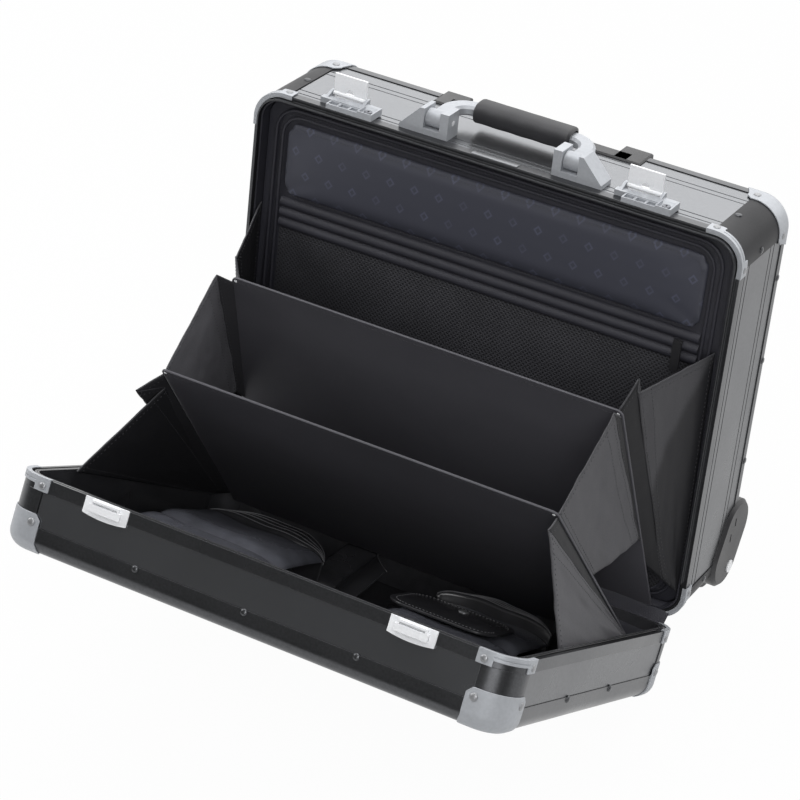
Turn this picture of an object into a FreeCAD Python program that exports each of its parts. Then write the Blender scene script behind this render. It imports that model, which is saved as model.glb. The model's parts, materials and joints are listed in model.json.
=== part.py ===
"""Rolling briefcase: a rear shell on two wheels, a lid hinged along the bottom edge, and a fan of two
dividers between them.

Every piece is drawn in the frame of the closed, upright case: X to the right, Y to the rear, Z up, with the
origin in the middle of the bottom edge where the two rims meet.  The pieces are then set in the pose in
which the open case stands: the lid swung forward, and the case leaning back on its wheels and on the
lower edge of its lid.
"""
import FreeCAD, Part
import math
import os

V = FreeCAD.Vector

# Case
CASE_WIDTH = 465.0
CASE_HEIGHT = 370.0
MAIN_DEPTH = 105.0
LID_DEPTH = 63.5
CORNER_RADIUS = 26.0
OPEN_ANGLE = 66.7
WALL = 3.0
PLATE = 2.5
FIT = 0.2
CLEARANCE = 0.3

# Frame profiles
PROUD = 0.8
RIM_GAP = 0.3
FLANGE = 1.0
MAIN_RIM_DEPTH = 10.0
LID_RIM_DEPTH = 12.0
MAIN_RIM_WIDTH = 5.0
LID_RIM_WIDTH = 7.0
TONGUE_INSET = 3.0
TONGUE_WIDTH = 1.6
TONGUE_REACH = 3.0
TONGUE_FOOT = 40.0
COLUMN_REACH = 29.0
SEAM = 0.5
MAIN_EDGE = 13.0
MAIN_EDGE_LIP = 16.0
MAIN_EDGE_ROUND = 7.0
LID_EDGE = 22.0
LID_EDGE_LIP = 20.0
LID_EDGE_ROUND = 13.0
GROOVE_WIDTH = 1.2
GROOVE_DEPTH = 0.7
GROOVE_FRONT = 5.0
GROOVE_STEP = 7.5
GROOVE_REAR = 29.0

# Corner brackets and caps
BRACKET = 1.2
BRACKET_BAND = 7.0
BRACKET_REACH = 34.5
BRACKET_TAB = 14.0
BRACKET_FLAP = 12.0
BEAD_GAP = 0.7
CAP = 1.2
CAP_REACH = 34.5
CAP_CHAMFER = 5.0
LID_CAP_START = 31.0
LID_CAP_FLARE = 4.0
REAR_CAP_WIDTH = 24.0
REAR_CAP_FLARE = 8.0

# Hinge
KNUCKLE_RADIUS = 3.2
HINGE_PIN_RADIUS = 1.5
RUNNING = 0.05
HINGE_LEAF = 1.2
HINGE_LEAF_WIDTH = 14.0
HINGE_INSET = 45.5
HINGE_KNUCKLES = 5

# Wheels and feet
WHEEL_RADIUS = 27.0
WHEEL_WIDTH = 22.0
WHEEL_TO_BACK = 8.0
WHEEL_RISE = 12.0
WHEEL_INSET = 25.0
TYRE = 6.5
AXLE_RADIUS = 3.0
HOUSING_RADIUS = 27.0
HOUSING_LOW_TO_BACK = 17.0
HOUSING_LOW_RISE = 24.0
HOUSING_HIGH_TO_BACK = 4.0
HOUSING_HIGH_RISE = 50.0
HOUSING_PROUD = 3.5
HOUSING_BEVEL = 3.0
HOUSING_WIDTH = 51.0
WHEEL_ROOM = 2.0
AXLE_CAP_RADIUS = 6.0
AXLE_CAP = 1.0
FOOT_RADIUS = 11.0
FOOT_TIP_RADIUS = 9.0
FOOT_INSET = 82.5
FOOT_DEPTH = 30.0

# Pull handle
TUBE_X = 62.0
TUBE_TO_BACK = 13.5
TUBE_WIDTH = 26.0
TUBE_THICKNESS = 13.0
TUBE_WALL = 1.2
TUBE_FOOT = 45.0
TUBE_STAGGER = 3.0
PULL_TRAVEL = 250.0
BEZEL_HALF = 101.0
BEZEL_TO_BACK = 27.0
BEZEL_RISE = 1.2
BEZEL_LIP = 2.5
BEZEL_SINK = 16.0
BEZEL_FLOOR = 2.5
BEZEL_WALL = 2.0
BEZEL_BEVEL = 1.5
BEZEL_END = 26.0
PULL_GRIP_HEIGHT = 9.0
PULL_GRIP_BEVEL = 2.0
PULL_SOCKET = 6.0
BUTTON_HALF = 12.0
BUTTON_WIDTH = 10.0
BUTTON_HEIGHT = 5.5
BUTTON_PROUD = 1.2
BUTTON_TRAVEL = 3.0

# Carry handle
HANDLE_PIVOT_DEPTH = 20.0
HANDLE_PIVOT_RISE = 14.0
HANDLE_TO_LATCH = 12.2
HANDLE_TO_BEZEL = 20.0
HANDLE_ARM_WIDTH = 15.0
HANDLE_ARM_THICKNESS = 9.5
HANDLE_BAR = 14.0
HANDLE_BEND = 27.0
HANDLE_DRUM_RADIUS = 8.0
HANDLE_LEAN = 88.0
HANDLE_SWING = 100.0
HANDLE_PIN_RADIUS = 2.5
GRIP_TO_ARM = 21.0
GRIP_DEEP = 12.5
GRIP_THICK = 9.5
GRIP_DRAW = 2.5
GRIP_CORNER = 0.8
BASE_WIDTH = 20.0
BASE_HEIGHT = 24.0
BASE_EAR = 8.0
BASE_FLOOR = 6.0
BASE_SLOPE = 19.0
BASE_TOE = 4.0

# Latches
LATCH_SHARE = 0.3054
LATCH_HALF = 22.5
LATCH_DEPTH = 20.5
LATCH_START = 1.0
LATCH_PLATE = 2.2
LATCH_TRAY = 9.0
LATCH_TRAY_HEIGHT = 4.4
LATCH_TRAY_WALL = 1.3
LATCH_RIB = 2.0
LATCH_BAR_LEFT = 33.0
LATCH_BAR_NARROW = 6.5
LATCH_BAR_HEIGHT = 5.0
LATCH_LOCK_LEFT = 8.0
LATCH_LOCK_HEIGHT = 6.2
LATCH_SCOOP = 11.0
LATCH_SCOOP_DEPTH = 2.6
FLAP_LEFT = 27.0
FLAP_RIGHT = 5.0
FLAP_REACH = 18.5
FLAP_THICKNESS = 2.0
FLAP_PIVOT_RISE = 6.4
FLAP_BARREL = 2.3
FLAP_PIN = 1.2
FLAP_PIN_REACH = 4.0
FLAP_EAR = 2.5
FLAP_NOTCH = 4.0
FLAP_SWING = 90.0
LOCK_RADIUS = 3.6
LOCK_HEIGHT = 3.6
LOCK_SLOT = 1.2
KEEPER_HALF = 21.0
KEEPER_DEPTH = 14.0
KEEPER_PLATE = 1.4
KEEPER_BULGE = 2.0
KEEPER_BOX_HALF = 15.0
KEEPER_BOX_DEPTH = 6.5
KEEPER_HEIGHT = 4.6
KEEPER_LOOP_HALF = 13.0
KEEPER_LOOP = 3.6
KEEPER_SLOT = 1.6

# Linings and inside of the rear shell
LINING = 1.5
PANEL_DEPTH = 12.0
PANEL = 2.0
PAD_INSET = 27.5
PAD_DROP = 23.0
PAD_TALL = 76.0
PAD_CROWN = 4.5
PAD_BEVEL = 3.0
PAD_CORNER = 18.0
ZIP_TALL = 30.0
ZIP_THICKNESS = 3.0
ZIP_RIB = 2.0
POCKET_LOW = 18.0
POCKET_THICKNESS = 3.0
SLIDER_INSET = 18.0
SLIDER_WIDTH = 8.0
SLIDER_HEIGHT = 10.0
SLIDER_THICKNESS = 1.4
PULLER_LENGTH = 24.0
SLIDER_STOP = 4.0
ORGANISER_INSET = 32.5
ORGANISER_LOW = 22.0
ORGANISER_DROP = 25.0
ORGANISER = 4.0

# Dividers and side gussets
DIVIDER = 3.8
DIVIDER_GAP = 0.6
REAR_DIVIDER_DROP = 114.0
FRONT_DIVIDER_DROP = 78.0
FRONT_FOLD_DEPTH = 31.0
FRONT_SWING = 39.0
DIVIDER_LOW_INSET = 26.5
DIVIDER_HIGH_INSET = 44.5
DIVIDER_CORNER = 6.0
GUSSET = 1.0
GUSSET_DROP = 108.0
GUSSET_LOW = 24.0
GUSSET_ROOT_INSET = 16.5
GUSSET_FOLD_INSET = 36.5
GUSSET_FOLD_ANGLE = 6.0
GUSSET_FOLD_DROP = 98.0
GUSSET_TIP = 16.0
GUSSET_SEAM = 0.7
GUSSET_HOLD = 4.0

# Places that follow from the sizes above
HALF_WIDTH = CASE_WIDTH / 2
GROOVE_START = MAIN_RIM_DEPTH + GROOVE_FRONT
GROOVE_END = MAIN_DEPTH - GROOVE_REAR
GROOVES = (GROOVE_START, GROOVE_START + GROOVE_STEP, GROOVE_END - GROOVE_STEP, GROOVE_END)
HINGE_LENGTH = CASE_WIDTH - 2 * HINGE_INSET
HINGE_POINT = V(0, 0, -PROUD - KNUCKLE_RADIUS)
WHEEL_DEPTH = MAIN_DEPTH - WHEEL_TO_BACK
WHEEL_POINT = V(0, WHEEL_DEPTH, WHEEL_RISE)
HOUSING_LOW = (MAIN_DEPTH - HOUSING_LOW_TO_BACK, HOUSING_LOW_RISE)
HOUSING_HIGH = (MAIN_DEPTH - HOUSING_HIGH_TO_BACK, HOUSING_HIGH_RISE)
FOOT_X = HALF_WIDTH - FOOT_INSET
FOOT_HEIGHT = WHEEL_RADIUS - WHEEL_RISE
TUBE_DEPTH = MAIN_DEPTH - TUBE_TO_BACK
BEZEL_FRONT = MAIN_DEPTH - BEZEL_TO_BACK
PULL_GRIP_HALF = BEZEL_HALF - BEZEL_END
LATCH_X = CASE_WIDTH * LATCH_SHARE
LATCH_BASE = CASE_HEIGHT + PROUD
LATCH_CENTRES = (-LATCH_X, LATCH_X)
FLAP_PIVOT = V(0, LATCH_DEPTH + FLAP_BARREL + CLEARANCE, LATCH_BASE + FLAP_PIVOT_RISE)
HANDLE_PIVOT = V(0, HANDLE_PIVOT_DEPTH, CASE_HEIGHT + HANDLE_PIVOT_RISE)
BASE_OUT = HANDLE_ARM_WIDTH / 2 + CLEARANCE + BASE_EAR / 2
HANDLE_ARM_X = LATCH_X - LATCH_BAR_LEFT - HANDLE_TO_LATCH - BASE_SLOPE - BASE_OUT
HANDLE_REACH = BEZEL_FRONT - HANDLE_TO_BEZEL - HANDLE_PIVOT_DEPTH
GRIP_HALF = HANDLE_ARM_X - GRIP_TO_ARM
BEZEL_LOW = CASE_HEIGHT - BEZEL_SINK
BEZEL_TOP = CASE_HEIGHT + PROUD + BEZEL_RISE
BEZEL_BACK = MAIN_DEPTH + CLEARANCE + BEZEL_LIP
PULL_GRIP_LOW = BEZEL_LOW + BEZEL_FLOOR + CLEARANCE
PULL_GRIP_HIGH = PULL_GRIP_LOW + PULL_GRIP_HEIGHT
LOCK_X = (LATCH_LOCK_LEFT + LATCH_HALF) / 2
LOCK_DEPTH = LATCH_START + LATCH_TRAY / 2 + LOCK_RADIUS
PAD_HALF = HALF_WIDTH - PAD_INSET
PAD_HIGH = CASE_HEIGHT - PAD_DROP
PAD_LOW = PAD_HIGH - PAD_TALL
ZIP_LOW = PAD_LOW - ZIP_TALL
SLIDER_X = PAD_HALF - SLIDER_INSET
ZIP_TRAVEL = 2 * SLIDER_X - SLIDER_STOP
ORGANISER_HALF = HALF_WIDTH - ORGANISER_INSET
ORGANISER_HIGH = CASE_HEIGHT - ORGANISER_DROP
BOARD_MIDDLE = DIVIDER_GAP + DIVIDER / 2
DIVIDER_LOW = LID_RIM_WIDTH + FIT + LINING + 2 * CLEARANCE
FRONT_POINT = V(0, -FRONT_FOLD_DEPTH, DIVIDER_LOW + DIVIDER / 2)
DIVIDER_LOW_HALF = HALF_WIDTH - DIVIDER_LOW_INSET
DIVIDER_HIGH_HALF = HALF_WIDTH - DIVIDER_HIGH_INSET
REAR_DIVIDER_HIGH = CASE_HEIGHT - REAR_DIVIDER_DROP
FRONT_DIVIDER_HIGH = CASE_HEIGHT - FRONT_DIVIDER_DROP
GUSSET_HIGH = CASE_HEIGHT - GUSSET_DROP
GUSSET_ROOT_X = HALF_WIDTH - GUSSET_ROOT_INSET
GUSSET_FOLD_X = HALF_WIDTH - GUSSET_FOLD_INSET
GUSSET_FOLD_RADIUS = CASE_HEIGHT - GUSSET_FOLD_DROP
SIDES = (-1, 1)
CORNERS = ((-1, 0), (1, 0), (-1, 1), (1, 1))
MAIN = 1
LID = -1
X_AXIS = V(1, 0, 0)
Y_AXIS = V(0, 1, 0)
Z_AXIS = V(0, 0, 1)


# Shapes that several pieces share

def box(x0, x1, y0, y1, z0, z1):
    """Box between two corners."""
    low = V(min(x0, x1), min(y0, y1), min(z0, z1))
    return Part.makeBox(abs(x1 - x0), abs(y1 - y0), abs(z1 - z0), low)


def rod(start, along, radius, length):
    """Cylinder from a point along an axis."""
    return Part.makeCylinder(radius, length, start, along)


def prism(points, along):
    """Solid drawn out of a flat outline of straight lines."""
    wire = Part.makePolygon(points + points[:1])
    return Part.Face(wire).extrude(along)


def rounded_outline(u0, u1, v0, v1, radius, at):
    """Closed wire of a rectangle with round corners; at() turns flat places into points."""
    k = radius * (1 - math.sqrt(0.5))
    r = radius
    lines = (((u0 + r, v0), (u1 - r, v0)), ((u1, v0 + r), (u1, v1 - r)),
             ((u1 - r, v1), (u0 + r, v1)), ((u0, v1 - r), (u0, v0 + r)))
    mids = ((u1 - k, v0 + k), (u1 - k, v1 - k), (u0 + k, v1 - k), (u0 + k, v0 + k))
    edges = []
    for i in range(4):
        start, end = lines[i]
        following = lines[(i + 1) % 4][0]
        edges.append(Part.LineSegment(at(*start), at(*end)).toShape())
        edges.append(Part.Arc(at(*end), at(*mids[i]), at(*following)).toShape())
    return Part.Wire(edges)


def upright_slab(x0, x1, z0, z1, radius, y0, y1):
    """Rounded rectangle seen from the front, from depth y0 to y1."""
    wire = rounded_outline(x0, x1, z0, z1, radius, lambda x, z: V(x, y0, z))
    return Part.Face(wire).extrude(V(0, y1 - y0, 0))


def flat_slab(x0, x1, y0, y1, radius, z0, z1):
    """Rounded rectangle seen from above, from height z0 to z1."""
    wire = rounded_outline(x0, x1, y0, y1, radius, lambda x, y: V(x, y, z0))
    return Part.Face(wire).extrude(V(0, 0, z1 - z0))


def shell_block(side, near, far, grow):
    """Block of the case's outline, grown outwards, between two depths behind the rim plane."""
    radius = max(CORNER_RADIUS + grow, WALL)
    half = HALF_WIDTH + grow
    return upright_slab(-half, half, -grow, CASE_HEIGHT + grow, radius, side * near, side * far)


def shell_ring(side, near, far, outer, inner):
    """Ring of the case's outline between two depths."""
    hole = shell_block(side, near - WALL, far + WALL, inner)
    return shell_block(side, near, far, outer).cut(hole)


def end_edges(shape, axis, place):
    """Edges that lie in one plane across an axis."""
    return [e for e in shape.Edges if all(abs(v.Point.dot(axis) - place) < 1e-6 for v in e.Vertexes)]


def round_end(shape, axis, place, radius):
    """Round the edges of one end of a shape."""
    return shape.makeFillet(radius, end_edges(shape, axis, place))


def bevel_end(shape, axis, place, size):
    """Bevel the edges of one end of a shape."""
    return shape.makeChamfer(size, end_edges(shape, axis, place))


def shell_end(side, near, far, grow, radius):
    """Block of the case's outline whose far edges are round."""
    return round_end(shell_block(side, near, far, grow), Y_AXIS, side * far, radius)


def corner_box(corner, reach_x, reach_z, y0, y1):
    """Box round one corner of the case's outline."""
    sx, top = corner
    out = HALF_WIDTH + 2 * CORNER_RADIUS
    x0, x1 = sorted((sx * (HALF_WIDTH - reach_x), sx * out))
    if top:
        return box(x0, x1, y0, y1, CASE_HEIGHT - reach_z, CASE_HEIGHT + CORNER_RADIUS)
    return box(x0, x1, y0, y1, -CORNER_RADIUS, reach_z)


def fuse_all(shapes):
    """One solid of several that overlap or touch."""
    result = shapes[0].fuse(shapes[1:]) if len(shapes) > 1 else shapes[0]
    return result.removeSplitter()


# Rear shell and lid

def wheel_bay(room):
    """Slot-shaped prisms at the two rear lower corners where the wheel housings go in."""
    bays = []
    radius = HOUSING_RADIUS + room
    for sx in SIDES:
        x0 = sx * (HALF_WIDTH + HOUSING_PROUD - HOUSING_WIDTH - room)
        length = HOUSING_WIDTH + 2 * room
        low = V(x0, *HOUSING_LOW)
        high = V(x0, *HOUSING_HIGH)
        run = high - low
        across = V(0, -run.z, run.y).normalize() * radius
        web = prism([low + across, high + across, high - across, low - across], X_AXIS * sx * length)
        ends = [rod(p, X_AXIS * sx, radius, length) for p in (low, high)]
        bays.append(fuse_all([web] + ends))
    return bays


def wheel_pocket(sx):
    """Round room for one wheel to turn in."""
    start = V(wheel_x(sx) - sx * WHEEL_ROOM, WHEEL_DEPTH, WHEEL_RISE)
    return rod(start, X_AXIS * sx, WHEEL_RADIUS + WHEEL_ROOM, WHEEL_WIDTH + 2 * WHEEL_ROOM)


def wheel_cuts():
    """What the wheels and their housings take out of the shell's walls."""
    return wheel_bay(FIT) + [wheel_pocket(sx) for sx in SIDES]


def pull_recess(room):
    """Recess of the pull handle, cut down into the top rear edge of the shell."""
    half = BEZEL_HALF + room
    return box(-half, half, BEZEL_FRONT - room, BEZEL_BACK + WALL, BEZEL_LOW - room, CASE_HEIGHT + CORNER_RADIUS)


def wall_span(side):
    """Depths between which the flat panels of a shell run."""
    if side == MAIN:
        return MAIN_RIM_DEPTH, MAIN_DEPTH - MAIN_EDGE
    return LID_RIM_DEPTH, LID_DEPTH - LID_EDGE


def level_panel(side, z0, z1, face):
    """Top or bottom panel; its grooves are cut into the face given."""
    near, far = wall_span(side)
    half = HALF_WIDTH - COLUMN_REACH - SEAM
    panel = box(-half, half, side * near, side * far, z0, z1)
    if side == MAIN:
        sink = math.copysign(GROOVE_DEPTH, face - (z0 + z1) / 2)
        cuts = [box(-half - 1, half + 1, d - GROOVE_WIDTH / 2, d + GROOVE_WIDTH / 2,
                    face - sink, face + sink) for d in GROOVES]
        panel = panel.cut(cuts)
    return panel


def side_panels(side):
    """Left and right panels."""
    near, far = wall_span(side)
    low = COLUMN_REACH + SEAM
    high = CASE_HEIGHT - COLUMN_REACH - SEAM
    panels = []
    for sx in SIDES:
        panel = box(sx * (HALF_WIDTH - WALL), sx * HALF_WIDTH, side * near, side * far, low, high)
        if side == MAIN:
            cuts = [box(sx * (HALF_WIDTH - GROOVE_DEPTH), sx * (HALF_WIDTH + GROOVE_DEPTH),
                        d - GROOVE_WIDTH / 2, d + GROOVE_WIDTH / 2, low - 1, high + 1) for d in GROOVES]
            panel = panel.cut(cuts).cut(wheel_cuts())
        panels.append(panel)
    return Part.makeCompound(panels)


def corner_columns(side):
    """Rounded profiles up the four corners of a shell."""
    near, far = wall_span(side)
    ring = shell_ring(side, near, far, PROUD, -WALL)
    y0, y1 = sorted((side * near, side * far))
    columns = [ring.common(corner_box(c, COLUMN_REACH, COLUMN_REACH, y0, y1)) for c in CORNERS]
    if side == MAIN:
        columns = [c.cut(wheel_cuts()) for c in columns]
    return Part.makeCompound(columns)


def edge_hollow(side, depth, edge, radius):
    """Room inside a rounded outer edge, bevelled to keep its wall even."""
    hollow = shell_block(side, depth - edge - WALL, depth - WALL, -WALL)
    return bevel_end(hollow, Y_AXIS, side * (depth - WALL), (2 - math.sqrt(2)) * radius)


def edge_profile(side, depth, edge, lip, radius, regions):
    """Rounded lengths of frame round the outer edge of a shell, with a lip over its flat panel."""
    body = shell_end(side, depth - edge, depth, PROUD, radius)
    window = shell_block(side, depth - 2 * WALL, depth + WALL, -lip)
    return body.cut([edge_hollow(side, depth, edge, radius), window] + regions)


def rear_edge_profile():
    start = MAIN_DEPTH - REAR_CAP_WIDTH
    regions = [cap_region(c, MAIN, MAIN_DEPTH, start, REAR_CAP_FLARE, FIT) for c in CORNERS[2:]]
    profile = edge_profile(MAIN, MAIN_DEPTH, MAIN_EDGE, MAIN_EDGE_LIP, MAIN_EDGE_ROUND, regions)
    return profile.cut(wheel_cuts() + [pull_recess(FIT)])


def lid_edge_profile():
    regions = [cap_region(c, LID, LID_DEPTH, LID_CAP_START, LID_CAP_FLARE, FIT) for c in CORNERS]
    return edge_profile(LID, LID_DEPTH, LID_EDGE, LID_EDGE_LIP, LID_EDGE_ROUND, regions)


def rear_panel():
    plate = shell_block(MAIN, MAIN_DEPTH - WALL - PLATE, MAIN_DEPTH - WALL, -MAIN_EDGE_ROUND - FIT)
    return plate.cut(wheel_cuts() + [pull_recess(FIT)])


def lid_front_panel():
    return shell_block(LID, LID_DEPTH - WALL - PLATE, LID_DEPTH - WALL, -LID_EDGE_ROUND - FIT)


def main_top_panel():
    return level_panel(MAIN, CASE_HEIGHT - WALL, CASE_HEIGHT, CASE_HEIGHT).cut(pull_recess(FIT))


def main_rim_profile():
    """Rim of the rear shell, with the tongue that enters the lid's rim."""
    rim = shell_ring(MAIN, RIM_GAP + FLANGE, MAIN_RIM_DEPTH, PROUD, -MAIN_RIM_WIDTH)
    tongue = shell_ring(MAIN, -TONGUE_REACH, RIM_GAP + FLANGE, -TONGUE_INSET, -TONGUE_INSET - TONGUE_WIDTH)
    foot = box(-CASE_WIDTH, CASE_WIDTH, -MAIN_DEPTH, MAIN_DEPTH, -CORNER_RADIUS, TONGUE_FOOT)
    return fuse_all([rim, tongue.cut(foot)])


def lid_rim_profile():
    """Rim of the lid, with the groove that takes the rear shell's tongue."""
    rim = shell_ring(LID, RIM_GAP + FLANGE, LID_RIM_DEPTH, PROUD, -LID_RIM_WIDTH)
    inner = -TONGUE_INSET - TONGUE_WIDTH - CLEARANCE
    groove = shell_ring(LID, 0, TONGUE_REACH + 2 * CLEARANCE, -TONGUE_INSET + CLEARANCE, inner)
    foot = box(-CASE_WIDTH, CASE_WIDTH, -LID_DEPTH, LID_DEPTH, -CORNER_RADIUS, TONGUE_FOOT - 2 * CLEARANCE)
    return rim.cut(groove.cut(foot))


def rim_brackets(side):
    """Two-bead corner irons on a rim, each with a riveted tab at both ends."""
    outer = PROUD + BRACKET
    band = shell_ring(side, RIM_GAP, BRACKET_BAND, outer, PROUD)
    bead = (RIM_GAP + FLANGE + BRACKET_BAND) / 2
    band = band.cut(shell_ring(side, bead - BEAD_GAP / 2, bead + BEAD_GAP / 2, outer + 1, outer - BRACKET / 2))
    front = shell_ring(side, RIM_GAP, RIM_GAP + FLANGE, outer, -TONGUE_INSET + 2 * CLEARANCE)
    tabs = shell_ring(side, RIM_GAP, BRACKET_FLAP, outer, PROUD)
    y0, y1 = sorted((side * 0.0, side * LID_DEPTH))
    bend = BRACKET_REACH - BRACKET_TAB
    brackets = []
    for corner in CORNERS:
        reach = corner_box(corner, BRACKET_REACH, BRACKET_REACH, y0, y1)
        ends = tabs.common(reach).cut(corner_box(corner, bend, bend, y0, y1))
        brackets.append(fuse_all([band.common(reach), front.common(reach), ends]))
    return Part.makeCompound(brackets)


def cap_region(corner, side, depth, start, flare, room):
    """Room of one corner cap: a tab on each wall that widens towards the outer face."""
    sx, top = corner
    reach = CAP_REACH + room
    far = depth + 2 * CAP
    knee = depth - 2 * flare
    out = 2 * reach
    level = [(reach - CAP_CHAMFER, start), (reach, start + CAP_CHAMFER), (reach, knee), (reach + flare, far),
             (-out, far), (-out, start)]
    wide = prism([V(sx * (HALF_WIDTH - u), side * d, -out) for u, d in level], Z_AXIS * (CASE_HEIGHT + 2 * out))
    z = CASE_HEIGHT if top else 0.0
    down = -1 if top else 1
    tall = prism([V(-CASE_WIDTH, side * d, z + down * u) for u, d in level], X_AXIS * 2 * CASE_WIDTH)
    notch = reach + flare + CAP
    bite = prism([V(sx * (HALF_WIDTH - u), side * knee, z + down * w)
                  for u, w in ((notch, notch), (notch, notch - reach), (notch - reach, notch))],
                 Y_AXIS * side * 2 * depth)
    return wide.common(tall).cut(bite)


def corner_caps(side, depth, edge, lip, radius, corners, start, flare):
    """Cast corners that join the edge profiles; their tabs lap over the columns."""
    body = shell_end(side, start, depth + CAP, PROUD + CAP, radius + CAP)
    under_tabs = shell_block(side, start - WALL, depth - edge + FIT, PROUD)
    window = shell_block(side, depth - 2 * WALL, depth + WALL, -lip)
    body = body.cut([under_tabs, edge_hollow(side, depth, edge, radius), window])
    return Part.makeCompound([body.common(cap_region(c, side, depth, start, flare, 0)) for c in corners])


def lid_corner_caps():
    return corner_caps(LID, LID_DEPTH, LID_EDGE, LID_EDGE_LIP, LID_EDGE_ROUND, CORNERS, LID_CAP_START,
                       LID_CAP_FLARE)


def rear_corner_caps():
    return corner_caps(MAIN, MAIN_DEPTH, MAIN_EDGE, MAIN_EDGE_LIP, MAIN_EDGE_ROUND, CORNERS[2:],
                       MAIN_DEPTH - REAR_CAP_WIDTH, REAR_CAP_FLARE)


# Hinge

def hinge_leaf(side):
    """One leaf of the long hinge with its share of the knuckles."""
    step = HINGE_LENGTH / HINGE_KNUCKLES
    half = HINGE_LENGTH / 2
    top = -PROUD
    near = KNUCKLE_RADIUS + CLEARANCE
    strip = box(-half, half, side * near, side * HINGE_LEAF_WIDTH, top - HINGE_LEAF, top)
    pieces = [strip]
    first = 0 if side == MAIN else 1
    bore = rod(HINGE_POINT - X_AXIS * half, X_AXIS, HINGE_PIN_RADIUS + RUNNING, HINGE_LENGTH)
    for i in range(first, HINGE_KNUCKLES, 2):
        x0 = -half + i * step + CLEARANCE
        x1 = -half + (i + 1) * step - CLEARANCE
        barrel = rod(V(x0, 0, HINGE_POINT.z), X_AXIS, KNUCKLE_RADIUS, x1 - x0)
        tongue = box(x0, x1, 0, side * near, top - HINGE_LEAF, top)
        pieces.append(fuse_all([barrel, tongue]).cut(bore))
    return fuse_all(pieces)


def hinge_pin():
    return rod(HINGE_POINT - X_AXIS * HINGE_LENGTH / 2, X_AXIS, HINGE_PIN_RADIUS, HINGE_LENGTH)


# Wheels

def wheel_x(sx):
    """Place of a wheel's inner face."""
    return sx * (HALF_WIDTH - WHEEL_INSET - WHEEL_WIDTH / 2)


def wheel_housings():
    """Moulded corner housings with a pocket for each wheel and two drain slots in the cheek."""
    housings = []
    for sx, body in zip(SIDES, wheel_bay(0)):
        face = sx * (HALF_WIDTH + HOUSING_PROUD)
        body = bevel_end(body, X_AXIS, face, HOUSING_BEVEL)
        axle = rod(V(0, WHEEL_DEPTH, WHEEL_RISE), X_AXIS * sx, AXLE_RADIUS, CASE_WIDTH)
        slots = []
        for rise in (0.0, WHEEL_RADIUS / 2):
            y = HOUSING_HIGH[0] - WHEEL_RADIUS / 2 + rise / 2
            z = HOUSING_HIGH[1] - WHEEL_RADIUS / 3 + rise
            slots.append(box(face - sx * WHEEL_ROOM, face + sx, y, y + WHEEL_ROOM, z, z + 4 * WHEEL_ROOM))
        housings.append(body.cut([wheel_pocket(sx), axle] + slots))
    return Part.makeCompound(housings)


def wheel_axles():
    """Stub axles through both cheeks of each housing, with a flat cap outside."""
    axles = []
    for sx in SIDES:
        inner = HALF_WIDTH + HOUSING_PROUD - HOUSING_WIDTH
        outer = HALF_WIDTH + HOUSING_PROUD
        pin = rod(V(sx * inner, WHEEL_DEPTH, WHEEL_RISE), X_AXIS * sx, AXLE_RADIUS, outer - inner)
        cap = rod(V(sx * outer, WHEEL_DEPTH, WHEEL_RISE), X_AXIS * sx, AXLE_CAP_RADIUS, AXLE_CAP)
        axles.append(fuse_all([pin, cap]))
    return Part.makeCompound(axles)


def wheel_hub(sx):
    """Moulded hub that turns on the stub axle."""
    start = V(wheel_x(sx), WHEEL_DEPTH, WHEEL_RISE)
    along = X_AXIS * sx
    hub = rod(start, along, WHEEL_RADIUS - TYRE, WHEEL_WIDTH)
    return hub.cut(rod(start, along, AXLE_RADIUS + RUNNING, WHEEL_WIDTH))


def wheel_tyre(sx):
    """Plain tyre round the hub."""
    start = V(wheel_x(sx), WHEEL_DEPTH, WHEEL_RISE)
    along = X_AXIS * sx
    tyre = rod(start, along, WHEEL_RADIUS, WHEEL_WIDTH)
    return tyre.cut(rod(start, along, WHEEL_RADIUS - TYRE, WHEEL_WIDTH))


def feet():
    """Feet that hold the closed case level with its wheels."""
    return Part.makeCompound([Part.makeCone(FOOT_RADIUS, FOOT_TIP_RADIUS, FOOT_HEIGHT,
                                            V(sx * FOOT_X, FOOT_DEPTH, 0), -Z_AXIS) for sx in SIDES])


# Pull handle

def tube_pair(stage, low, high):
    """Two box tubes; each stage slides inside the one before."""
    shrink = stage * (TUBE_WALL + CLEARANCE)
    tubes = []
    for sx in SIDES:
        half_w = TUBE_WIDTH / 2 - shrink
        half_t = TUBE_THICKNESS / 2 - shrink
        x = sx * TUBE_X
        tube = box(x - half_w, x + half_w, TUBE_DEPTH - half_t, TUBE_DEPTH + half_t, low, high)
        half_w -= TUBE_WALL
        half_t -= TUBE_WALL
        bore = box(x - half_w, x + half_w, TUBE_DEPTH - half_t, TUBE_DEPTH + half_t, low - 1, high + 1)
        tubes.append(tube.cut(bore))
    return Part.makeCompound(tubes)


def tube_blocks(stage, room, low, high):
    """The space that one stage of the tubes fills."""
    shrink = stage * (TUBE_WALL + CLEARANCE) - room
    half_w = TUBE_WIDTH / 2 - shrink
    half_t = TUBE_THICKNESS / 2 - shrink
    return [box(sx * TUBE_X - half_w, sx * TUBE_X + half_w, TUBE_DEPTH - half_t, TUBE_DEPTH + half_t,
                low, high) for sx in SIDES]


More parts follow.
